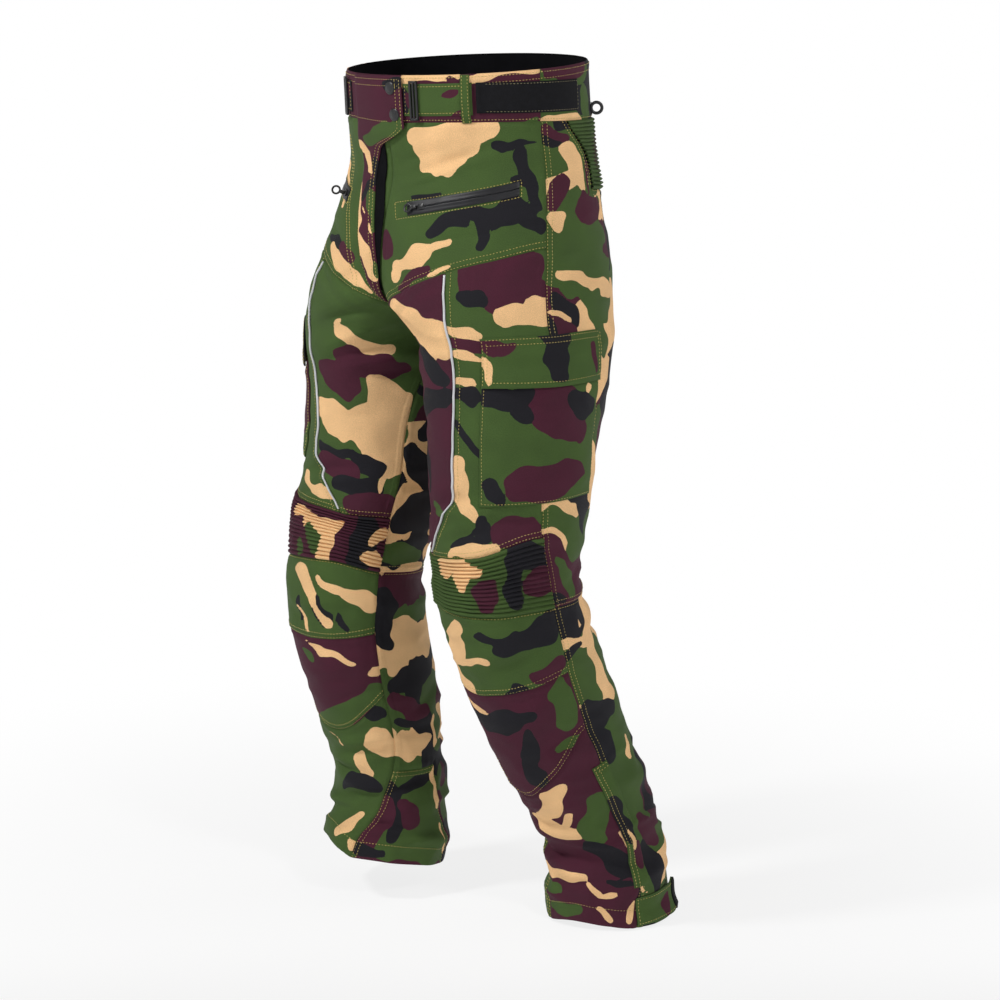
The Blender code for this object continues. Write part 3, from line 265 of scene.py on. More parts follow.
class Half:
    """One half of the trousers: the skin, and the lattice of seams on it."""

    def __init__(self, side):
        self.side = side
        self.mirror = 1.0 if side == "left" else -1.0
        rings = PELVIS + LEGS[side]
        self.rings = {name: [r[k] for r in rings] for k, name in enumerate(RING_COLUMNS)}
        self.seams = {**UPPER_SEAMS, **LOWER_SEAMS[side]}
        self.row = {name: seam[0] for name, seam in self.seams.items()}
        rows, columns = self.row["hem"] + 1, COLUMN["back_inseam"] + 1
        v, u = np.meshgrid(np.arange(rows), np.arange(columns), indexing="ij")
        self.base = self.skin(v, u)

    # ---- the skin
    def ring(self, name, drop):
        return hermite(self.rings["drop"], self.rings[name], drop)

    def lean(self, drop):
        """How far a ring is tipped: square to the leg, and by the waist's own tilt above."""
        step = 0.012
        dy = self.ring("cy", drop + step) - self.ring("cy", drop - step)
        dz = self.ring("cz", drop + step) - self.ring("cz", drop - step)
        share = smooth((drop - LEAN_START) / LEAN_RUN)
        tilt = np.radians(hermite(*zip(*WAIST_TILT), drop))
        return np.arctan2(dy, -dz) * share + tilt * (1 - share)

    def skin_at(self, drop, angle):
        """A point of the smooth skin; the angle is in degrees."""
        drop, turn = np.broadcast_arrays(np.asarray(drop, float), np.radians(angle))
        across, along = np.cos(turn), np.sin(turn)
        half_width = np.where(across > 0, self.ring("inner", drop), self.ring("outer", drop))
        half_depth = np.where(along > 0, self.ring("front", drop), self.ring("back", drop))
        lean = self.lean(drop)
        depth = -half_depth * along
        x = self.ring("cx", drop) - half_width * across
        y = self.ring("cy", drop) + depth * np.cos(lean)
        z = self.ring("cz", drop) + depth * np.sin(lean)
        return np.stack([self.mirror * x, y, z], -1)

    def normal_at(self, drop, angle):
        """The skin's outward direction."""
        d_drop, d_angle = 0.002, 1.0
        down = self.skin_at(drop + d_drop, angle) - self.skin_at(drop - d_drop, angle)
        around = self.skin_at(drop, angle + d_angle) - self.skin_at(drop, angle - d_angle)
        return unit(np.cross(down, around) * self.mirror)

    def opening(self, drop):
        """The angle at which a pelvis ring meets the plane x = 0."""
        ratio = self.ring("cx", drop) / self.ring("inner", drop)
        return np.degrees(np.arccos(np.clip(ratio, -1, 1)))

    def fold(self, drop, angle):
        """Height of the largest folds."""
        total = np.zeros(np.broadcast(drop, angle).shape)
        for at, middle, run, slant, width, height in FOLDS[self.side]:
            away = (angle - middle + 180) % 360 - 180
            across = (drop - at - slant * 1e-3 * away) / (width * 1e-3)
            total = total + height * 1e-3 * np.exp(-(across**2) - (away / run) ** 2)
        return total

    # ---- the lattice
    def drop(self, v, u):
        """The drop at a row and a column, whole or in between."""
        lines = list(COLUMN.values())
        rows = np.array([seam[0] for seam in self.seams.values()])
        drops = np.stack([hermite(lines, seam[1:], u) for seam in self.seams.values()])
        k = np.clip(np.searchsorted(rows, v, side="right") - 1, 0, len(rows) - 2)
        share = (v - rows[k]) / (rows[k + 1] - rows[k])
        upper = np.take_along_axis(drops, k[None], 0)[0]
        lower = np.take_along_axis(drops, k[None] + 1, 0)[0]
        return upper + (lower - upper) * share

    def column_angles(self, drop):
        """The named columns' angles at a drop."""
        above = drop < CROTCH - 1e-6
        first = np.where(above, self.opening(drop), hermite(*zip(*INSEAM_ANGLE), drop))
        last = np.where(above, 360 - first, 360 + first)
        table = list(zip(*ANGLES))
        middle = [hermite(table[0], column, drop) for column in table[1:]]
        return np.stack([first, *middle, last])

    def angle(self, u, drop):
        lines = np.array(list(COLUMN.values()))
        angles = self.column_angles(drop)
        k = np.clip(np.searchsorted(lines, u, side="right") - 1, 0, len(lines) - 2)
        share = (u - lines[k]) / (lines[k + 1] - lines[k])
        low = np.take_along_axis(angles, k[None], 0)[0]
        high = np.take_along_axis(angles, k[None] + 1, 0)[0]
        return low + (high - low) * share

    def in_plane(self, v, u):
        """True where a lattice point lies in the plane x = 0, where the halves are sewn."""
        edge = (u == COLUMN["front_inseam"]) | (u == COLUMN["back_inseam"])
        return edge & (v <= self.row["crotch"])

    def skin(self, v, u):
        """The smooth skin at lattice places."""
        drop = self.drop(v, u)
        points = self.skin_at(drop, self.angle(u, drop))
        points[self.in_plane(v, u), 0] = 0.0
        return points

    def normals(self, v, u):
        """Outward directions there; in the plane x = 0 they stay in it."""
        drop = self.drop(v, u)
        normals = self.normal_at(drop, self.angle(u, drop))
        step = 0.0006
        plane = self.in_plane(v, u)
        ahead = np.minimum(drop, CROTCH - step)
        sign = np.where(u == 0, 1.0, -1.0)
        meet = np.where(u == 0, 0.0, 360.0)
        first = self.skin_at(ahead, meet + sign * self.opening(ahead))
        second = self.skin_at(ahead + step, meet + sign * self.opening(ahead + step))
        run = second - first
        in_plane = np.stack([np.zeros_like(sign), run[..., 2] * sign, -run[..., 1] * sign], -1)
        normals[plane] = unit(in_plane[plane])
        return normals

    def row_at(self, drop, u):
        """The row, in fractions, of a drop on a column."""
        lines = list(COLUMN.values())
        drops = [float(hermite(lines, seam[1:], u)) for seam in self.seams.values()]
        return float(np.interp(drop, drops, list(self.row.values())))


# ---------------------------------------------------------------- the dressed cloth's relief
# Creases beyond the solid's folds, in the same columns; a negative height is a trough.
CREASES = {
    "left": (
        (0.092, 122, 18, -0.75, 7, -2.2), (0.108, 114, 16, -0.80, 6, 1.9),
        (0.118, 106, 14, -0.85, 6, -1.8), (0.132, 100, 12, -0.85, 6, 1.4),
        (0.085, 108, 12, -0.70, 6, -0.8), (0.175, 128, 20, -0.30, 9, -1.0),
        (0.235, 75, 16, 0.90, 8, -1.8), (0.262, 70, 18, 0.80, 8, 1.5),
        (0.300, 45, 26, 0.50, 9, -2.2), (0.335, 40, 24, 0.35, 9, 1.8),
        (0.400, 50, 22, 0.20, 10, -1.3), (0.255, 140, 22, -0.25, 9, -0.9),
        (0.498, 130, 22, -0.10, 7, -2.2), (0.514, 104, 26, -0.35, 7, -2.4),
        (0.488, 82, 22, -0.45, 7, -2.0), (0.545, 152, 14, -0.40, 6, -1.6),
        (0.575, 275, 40, 0.05, 8, -3.0), (0.610, 268, 36, 0.00, 8, -2.6),
        (0.600, 215, 22, 0.30, 8, -2.2), (0.648, 235, 28, 0.30, 9, -1.7),
        (0.560, 200, 18, -0.35, 7, -1.6), (0.190, 255, 22, 0.50, 10, -1.6),
        (0.240, 262, 26, 0.50, 9, 2.0), (0.272, 275, 26, 0.35, 8, -2.4),
        (0.315, 280, 26, 0.20, 9, 1.8), (0.350, 270, 24, 0.10, 9, -1.6),
        (0.225, 190, 18, 0.30, 9, -1.0), (0.420, 232, 22, 0.20, 11, -1.2),
        (0.615, 95, 24, 0.40, 8, 1.3), (0.634, 128, 20, -0.40, 8, -1.5),
        (0.652, 90, 20, 0.20, 7, -1.0), (0.700, 112, 26, -0.25, 10, 1.5),
        (0.742, 140, 24, -0.40, 9, -1.5), (0.720, 220, 30, -0.20, 11, -1.2),
        (0.775, 250, 30, 0.20, 11, -1.2), (0.855, 95, 32, 0.10, 8, -3.0),
        (0.884, 122, 30, 0.35, 8, -2.8), (0.912, 80, 30, 0.10, 8, -2.6),
        (0.930, 158, 26, 0.40, 8, -2.6), (0.950, 110, 26, -0.20, 8, -2.2),
        (0.828, 232, 30, -0.40, 9, -2.0), (0.900, 250, 30, 0.20, 9, -2.6),
        (0.975, 70, 24, 0.20, 7, 1.8), (0.992, 190, 18, -0.20, 7, -1.4),
        (0.870, 10, 30, 0.15, 9, -2.2), (0.930, 345, 28, -0.15, 9, -2.2),
    ),
    "right": (
        (0.130, 140, 16, 0.40, 7, -1.0), (0.180, 122, 16, -0.45, 7, -1.0),
        (0.225, 78, 20, 0.75, 8, -1.6), (0.276, 72, 24, 0.55, 8, -2.6),
        (0.296, 60, 26, 0.60, 7, 1.9), (0.312, 52, 28, 0.55, 7, -2.8),
        (0.330, 48, 24, 0.50, 7, 1.8), (0.350, 42, 24, 0.45, 8, -2.0),
        (0.300, 100, 20, 0.35, 9, -1.4), (0.410, 60, 22, 0.25, 11, -1.2),
        (0.455, 80, 24, -0.20, 10, 1.2), (0.494, 88, 26, 0.25, 7, -2.4),
        (0.512, 60, 26, -0.15, 6, -2.0), (0.522, 104, 18, 0.30, 6, -1.8),
        (0.575, 268, 40, 0.05, 8, -3.0), (0.612, 272, 36, 0.05, 8, -2.6),
        (0.590, 218, 24, -0.30, 8, -2.0), (0.650, 240, 26, 0.20, 9, -1.8),
        (0.540, 350, 26, 0.25, 9, -2.0), (0.600, 340, 26, -0.30, 9, -1.8),
        (0.185, 250, 22, 0.45, 10, -1.6), (0.236, 258, 26, 0.50, 9, 1.9),
        (0.270, 272, 26, 0.35, 8, -2.4), (0.320, 276, 24, 0.25, 9, 1.7),
        (0.356, 266, 24, 0.10, 9, -1.5), (0.430, 236, 22, -0.20, 11, -1.2),
        (0.612, 70, 26, 0.25, 8, 1.5), (0.634, 96, 22, -0.30, 8, -1.6),
        (0.690, 80, 28, 0.20, 10, 1.4), (0.724, 54, 24, 0.30, 9, -1.6),
        (0.715, 225, 30, 0.20, 11, -1.2), (0.760, 345, 26, 0.30, 9, -1.6),
        (0.806, 60, 34, 0.25, 8, -2.8), (0.838, 96, 34, -0.15, 8, -3.0),
        (0.866, 30, 28, 0.30, 8, -2.6), (0.880, 88, 30, 0.20, 8, -3.0),
        (0.908, 112, 26, 0.25, 8, -2.4), (0.926, 40, 28, -0.20, 8, -2.2),
        (0.850, 255, 30, 0.20, 9, -2.2), (0.905, 262, 30, -0.20, 9, -2.4),
        (0.945, 140, 24, 0.20, 7, 1.8), (0.960, 205, 20, 0.20, 7, -1.5),
        (0.790, 5, 28, -0.20, 9, -1.8), (0.945, 15, 26, 0.20, 8, -2.0),
    ),
}
# How strong the small ripples are, against the drop.
RIPPLE = ((0.0, 0.15), (0.06, 0.35), (0.14, 0.7), (0.45, 0.9), (0.62, 1.0), (0.80, 1.2),
          (1.0, 1.6))
# The same for the short wrinkles that run round the leg where the cloth hangs slack.
WRINKLES = ((0.0, 0.0), (0.07, 0.15), (0.2, 0.25), (0.26, 0.55), (0.34, 0.5), (0.42, 0.2),
            (0.49, 1.0), (0.58, 1.0), (0.70, 0.45), (0.78, 0.9), (0.86, 1.6), (0.95, 1.6),
            (1.0, 1.0))
CREASE_UNIT = 1.9e-3  # metres: the creases stand higher than their table's millimetres
RIPPLE_SIZES = ((0.0014, 0.060, 3), (0.0011, 0.024, 5))  # height, grain, seed
RIPPLE_STRETCH = np.array([1.0, 1.0, 1.5])
WRINKLE_HEIGHT, WRINKLE_GRAIN = 0.0042, 0.022
WRINKLE_STRETCH = np.array([0.45, 0.45, 1.0])
MIDDLE_RUN = 0.02  # from the middle seam, over which the relief sets in
HASH = np.array([374761393, 668265263, 1274126177])  # they mix a cell's numbers


def noise(points, size, seed):
    """Smooth noise from -1 to 1; size is its grain in metres."""
    q = points / size + 31.7 * seed
    cell = np.floor(q).astype(np.int64)
    part = smooth(q - cell)
    total = np.zeros(points.shape[:-1])
    for corner in range(8):
        step = np.array([corner & 1, corner >> 1 & 1, corner >> 2 & 1])
        h = (((cell + step) * HASH).sum(-1) + seed * 362437) & 0xFFFFFFFF
        h = ((h ^ (h >> 13)) * HASH[2]) & 0xFFFFFFFF
        h = ((h ^ (h >> 16)) & 0xFFFF) / 65535.0
        total += h * np.prod(np.where(step, part, 1 - part), -1)
    return total * 2 - 1


def relief(half, drop, angle, points):
    """Height of the dressed cloth over the skin: folds, creases, ripples and wrinkles."""
    total = half.fold(drop, angle)
    for at, middle, run, slant, width, height in CREASES[half.side]:
        away = (angle - middle + 180) % 360 - 180
        across = np.abs(drop - at - slant * 1e-3 * away) / (width * 1e-3)
        total = total + height * CREASE_UNIT * np.exp(-(across**1.5) - (away / run) ** 2)
    stretched = points * RIPPLE_STRETCH
    ripple = sum(rise * noise(stretched, size, seed) for rise, size, seed in RIPPLE_SIZES)
    total = total + ripple * np.interp(drop, *zip(*RIPPLE))
    slack = points * WRINKLE_STRETCH + 0.010 * noise(points, 0.09, 8)[..., None]
    wrinkle = 0.5 - np.abs(noise(slack, WRINKLE_GRAIN, 7))
    total = total + WRINKLE_HEIGHT * wrinkle * np.interp(drop, *zip(*WRINKLES))
    at_middle = smooth(np.abs(points[..., 0]) / MIDDLE_RUN) + (drop > CROTCH + 0.03)
    return total * np.clip(at_middle, 0, 1)


def dressed(half, v, u, height=0.0):
    """Points and normals on the dressed cloth at lattice places."""
    v, u = np.broadcast_arrays(np.asarray(v, float), np.asarray(u, float))
    drop = half.drop(v, u)
    angle = half.angle(u, drop)
    points, out = half.skin(v, u), half.normals(v, u)
    rise = relief(half, drop, angle, points) + height
    return points + out * rise[..., None], out


def dressed_at(half, drop, angle, height=0.0):
    """The same at drops and angles."""
    drop, angle = np.broadcast_arrays(np.asarray(drop, float), np.asarray(angle, float))
    points, out = half.skin_at(drop, angle), half.normal_at(drop, angle)
    rise = relief(half, drop, angle, points) + height
    return points + out * rise[..., None], out


# ---------------------------------------------------------------- grids of cloth
PITCH = 0.0033  # of the panels' grids
CLOTH = 0.0012  # wall of the dressed cloth
BODY = "garment"


class Cloth:
    """A grid of points on one face of a piece, with what is needed to sew on it."""

    def __init__(self, points, out):
        self.points, self.out = points, out
        self.measure()

    def measure(self):
        """Lengths along the cloth from its front edge and from its top."""
        along = np.linalg.norm(np.diff(self.points, axis=1), axis=-1)
        down = np.linalg.norm(np.diff(self.points, axis=0), axis=-1)
        self.across = np.pad(np.cumsum(along, 1), ((0, 0), (1, 0)))
        self.down = np.pad(np.cumsum(down, 0), ((1, 0), (0, 0)))

    def raise_by(self, height):
        self.points = self.points + self.out * np.asarray(height)[..., None]

    def line(self, axis, at, inset, first=0, last=None, trim=(0.0, 0.0)):
        """A stitch line at a distance from a row or column: points and normals."""
        along = self.down if axis == "row" else self.across
        points, out = self.points, self.out
        if axis == "column":
            along, points, out = along.T, points.transpose(1, 0, 2), out.transpose(1, 0, 2)
        lines, normals = [], []
        last = along.shape[1] if last is None else last
        for k in range(first, last):
            want = along[at, k] + inset
            lines.append([np.interp(want, along[:, k], points[:, k, x]) for x in range(3)])
            normals.append([np.interp(want, along[:, k], out[:, k, x]) for x in range(3)])
        return cut_ends(np.array(lines), unit(np.array(normals)), trim)


def cut_ends(points, normals, trim):
    """A path less a length at each end."""
    run = lengths_along(points)
    t = np.linspace(trim[0], run[-1] - trim[1], len(run))
    at = np.stack([np.interp(t, run, points[:, k]) for k in range(3)], 1)
    out = np.stack([np.interp(t, run, normals[:, k]) for k in range(3)], 1)
    return at, unit(out)


def fine_stops(lengths, start, per=PITCH):
    """Lattice positions from start, with each interval cut into steps of about the pitch."""
    stops = [float(start)]
    for k, length in enumerate(lengths):
        steps = max(2, round(length / per))
        stops.extend(start + k + np.arange(1, steps + 1) / steps)
    return np.array(stops)


def lattice_stops(half, rows, columns, per=PITCH):
    """Rows and columns of a fine grid over a block of the lattice."""
    block = half.base[rows[0]:rows[1] + 1, columns[0]:columns[1] + 1]
    down = np.linalg.norm(np.diff(block, axis=0), axis=-1).mean(1)
    across = np.linalg.norm(np.diff(block, axis=1), axis=-1).max(0)
    return fine_stops(down, rows[0], per), fine_stops(across, columns[0], per)


# ---------------------------------------------------------------- meshes
def shown(name, mesh, sharp):
    """Shades a mesh smooth between its sharp edges, and puts it in the scene."""
    mesh.polygons.foreach_set("use_smooth", [True] * len(mesh.polygons))
    mesh.set_sharp_from_angle(angle=math.radians(sharp))
    new = bpy.data.objects.new(name, mesh)
    bpy.context.scene.collection.objects.link(new)
    return new


def build_mesh(name, vertices, faces, materials, indices=None, uv=None, colour=None, sharp=50):
    mesh = bpy.data.meshes.new(name)
    mesh.from_pydata(vertices.tolist(), [], faces if isinstance(faces, list) else faces.tolist())
    mesh.update()
    for item in materials:
        mesh.materials.append(item)
    if indices is not None:
        mesh.polygons.foreach_set("material_index", indices)
    if uv is not None:
        layer = mesh.uv_layers.new(name="UVMap")
        corner = np.empty(len(mesh.loops), int)
        mesh.loops.foreach_get("vertex_index", corner)
        layer.data.foreach_set("uv", uv[corner].ravel())
    if colour is not None:
        layer = mesh.color_attributes.new("camo", "FLOAT_COLOR", "POINT")
        layer.data.foreach_set("color", colour.ravel())
    return shown(name, mesh, sharp)


def cloth_piece(name, cloth, wall, materials, cells=None, ring=False, camo=None):
    """A thin shell on a grid: outer face, inner face and rim."""
    points, out = cloth.points, cloth.out
    rows, columns = points.shape[:2]
    if cells is None:
        cells = np.ones((rows - 1, columns - 1 + ring), bool)
    inner = points - out * wall
    ids = np.arange(rows * columns).reshape(rows, columns)
    if ring:
        ids = np.concatenate([ids, ids[:, :1]], 1)
    quads = np.stack([ids[:-1, :-1], ids[:-1, 1:], ids[1:, 1:], ids[1:, :-1]], -1)[cells]
    flat = np.concatenate([points.reshape(-1, 3), inner.reshape(-1, 3)])
    a, b, d = (flat[quads[:, k]] for k in (0, 1, 3))
    if (np.cross(b - a, d - a) * out.reshape(-1, 3)[quads[:, 0]]).sum() < 0:
        quads = quads[:, ::-1]
    count = rows * columns
    edges = np.concatenate([quads[:, [k, (k + 1) % 4]] for k in range(4)])
    key = np.sort(edges, 1) @ np.array([count, 1])
    _, first, times = np.unique(key, return_index=True, return_counts=True)
    rim = edges[first[times == 1]]
    rim_faces = np.stack([rim[:, 1], rim[:, 0], rim[:, 0] + count, rim[:, 1] + count], 1)
    faces = np.concatenate([quads, quads[:, ::-1] + count, rim_faces])
    indices = np.zeros(len(faces), int)
    if len(materials) > 1:
        indices[len(quads):2 * len(quads)] = 1
    used, faces = np.unique(faces, return_inverse=True)
    faces = faces.reshape(-1, 4)
    uv = np.stack([cloth.across, -cloth.down], -1).reshape(-1, 2)
    colour = None
    if camo is not None:
        colour = np.concatenate([camo.reshape(-1, 4)] * 2)[used]
    new = build_mesh(name, flat[used], faces, materials, indices, np.concatenate([uv, uv])[used],
                     colour)
    cloth.area = quad_area(flat, quads)
    return new


def quad_area(points, quads):
    a, b, c, d = (points[quads[:, k]] for k in range(4))
    return float(np.linalg.norm(np.cross(c - a, d - b), axis=1).sum() / 2)


NARROWEST_SHEET = 0.0101  # declare() returns early for a piece narrower than this


def declare(piece, cloth, node):
    """Attaches a cloth piece to the garment and hides the part that it replaces."""
    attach(piece, BODY)
    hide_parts(node)
    width, length = float(cloth.across.max()), float(cloth.down.max())
    if min(width, length) < NARROWEST_SHEET:
        return


def sewn_piece(name, cloth, wall, held, rests_on, looks=None, slot_name="camo_cloth", **grid):
    """A cloth piece of the trousers, with the print where its slot has one."""
    looks = looks or [CAMO]
    camo = camouflage(cloth, name) if slot_name.startswith("camo") else None
    piece = cloth_piece(f"dressed_{name}", cloth, wall, looks, camo=camo, **grid)
    declare(piece, cloth, name)


def hard_piece(piece, node, body=BODY):
    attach(piece, body)
    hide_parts(node)


# ---------------------------------------------------------------- stitching
STITCH, STITCH_GAP = 0.0030, 0.0007
THREAD = 0.00055  # half its width
THREAD_SINK, THREAD_CREST = 0.0001, 1.1  # into the cloth; the crest's height in half widths
SEWN = {"left": [], "right": [], "middle": [], "tape": []}
EDGES = {"top": ("row", 0), "foot": ("row", -1), "front": ("column", 0), "back": ("column", -1)}


def sew(where, path):
    """Adds a row of stitches along a path of points and normals."""
    SEWN[where].append(path)


def sew_edges(where, cloth, trim=(0.0, 0.0), **insets):
    """Rows of stitches beside a piece's edges, at their distances from them."""
    for edge, distances in insets.items():
        axis, at = EDGES[edge]
        for inset in distances:
            sew(where, cloth.line(axis, at, inset if at == 0 else -inset, trim=trim))


def stitch_mesh(name, paths, look):
    """Raised thread dashes along the paths."""
    vertices, faces = [], []
    total = 0
    for points, normals in paths:
        run = lengths_along(points)
        count = int(run[-1] / (STITCH + STITCH_GAP))
        if count < 1:
            continue
        middle = (np.arange(count) + 0.5) * run[-1] / count
        ends = []
        for shift in (-STITCH / 2, 0, STITCH / 2):
            t = middle + shift
            ends.append(np.stack([np.interp(t, run, points[:, k]) for k in range(3)], 1))
        n = unit(np.stack([np.interp(middle, run, normals[:, k]) for k in range(3)], 1))
        start, centre, end = ends
        side = unit(np.cross(n, end - start)) * THREAD
        sink, top = n * -THREAD_SINK, n * THREAD * THREAD_CREST
        block = np.stack([start + sink, end + sink, centre + side + sink, centre - side + sink,
                          centre + top], 1)
        base = total + 5 * np.arange(count)[:, None]
        for tri in ((0, 2, 4), (2, 1, 4), (1, 3, 4), (3, 0, 4)):
            faces.append(base + np.array(tri))
        vertices.append(block.reshape(-1, 3))
        total += 5 * count
    verts, tris = np.concatenate(vertices), np.concatenate(faces)
    a, b, c = (verts[tris[:, k]] for k in range(3))
    peak = verts[tris[:, 2]] - verts[(tris[:, 2] // 5) * 5]
    wrong = (np.cross(b - a, c - a) * peak).sum(1) < 0
    tris[wrong] = tris[wrong][:, [1, 0, 2]]
    piece = build_mesh(name, verts, tris, [look], sharp=80)
    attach(piece, BODY)


# ---------------------------------------------------------------- camouflage
COLOURS = ("tan", "green", "maroon", "black")
CAMO_RGB = {
    "tan": (0.80, 0.50, 0.245),
    "green": (0.052, 0.093, 0.023),
    "maroon": (0.062, 0.0125, 0.026),
    "black": (0.0115, 0.0110, 0.0145),
}
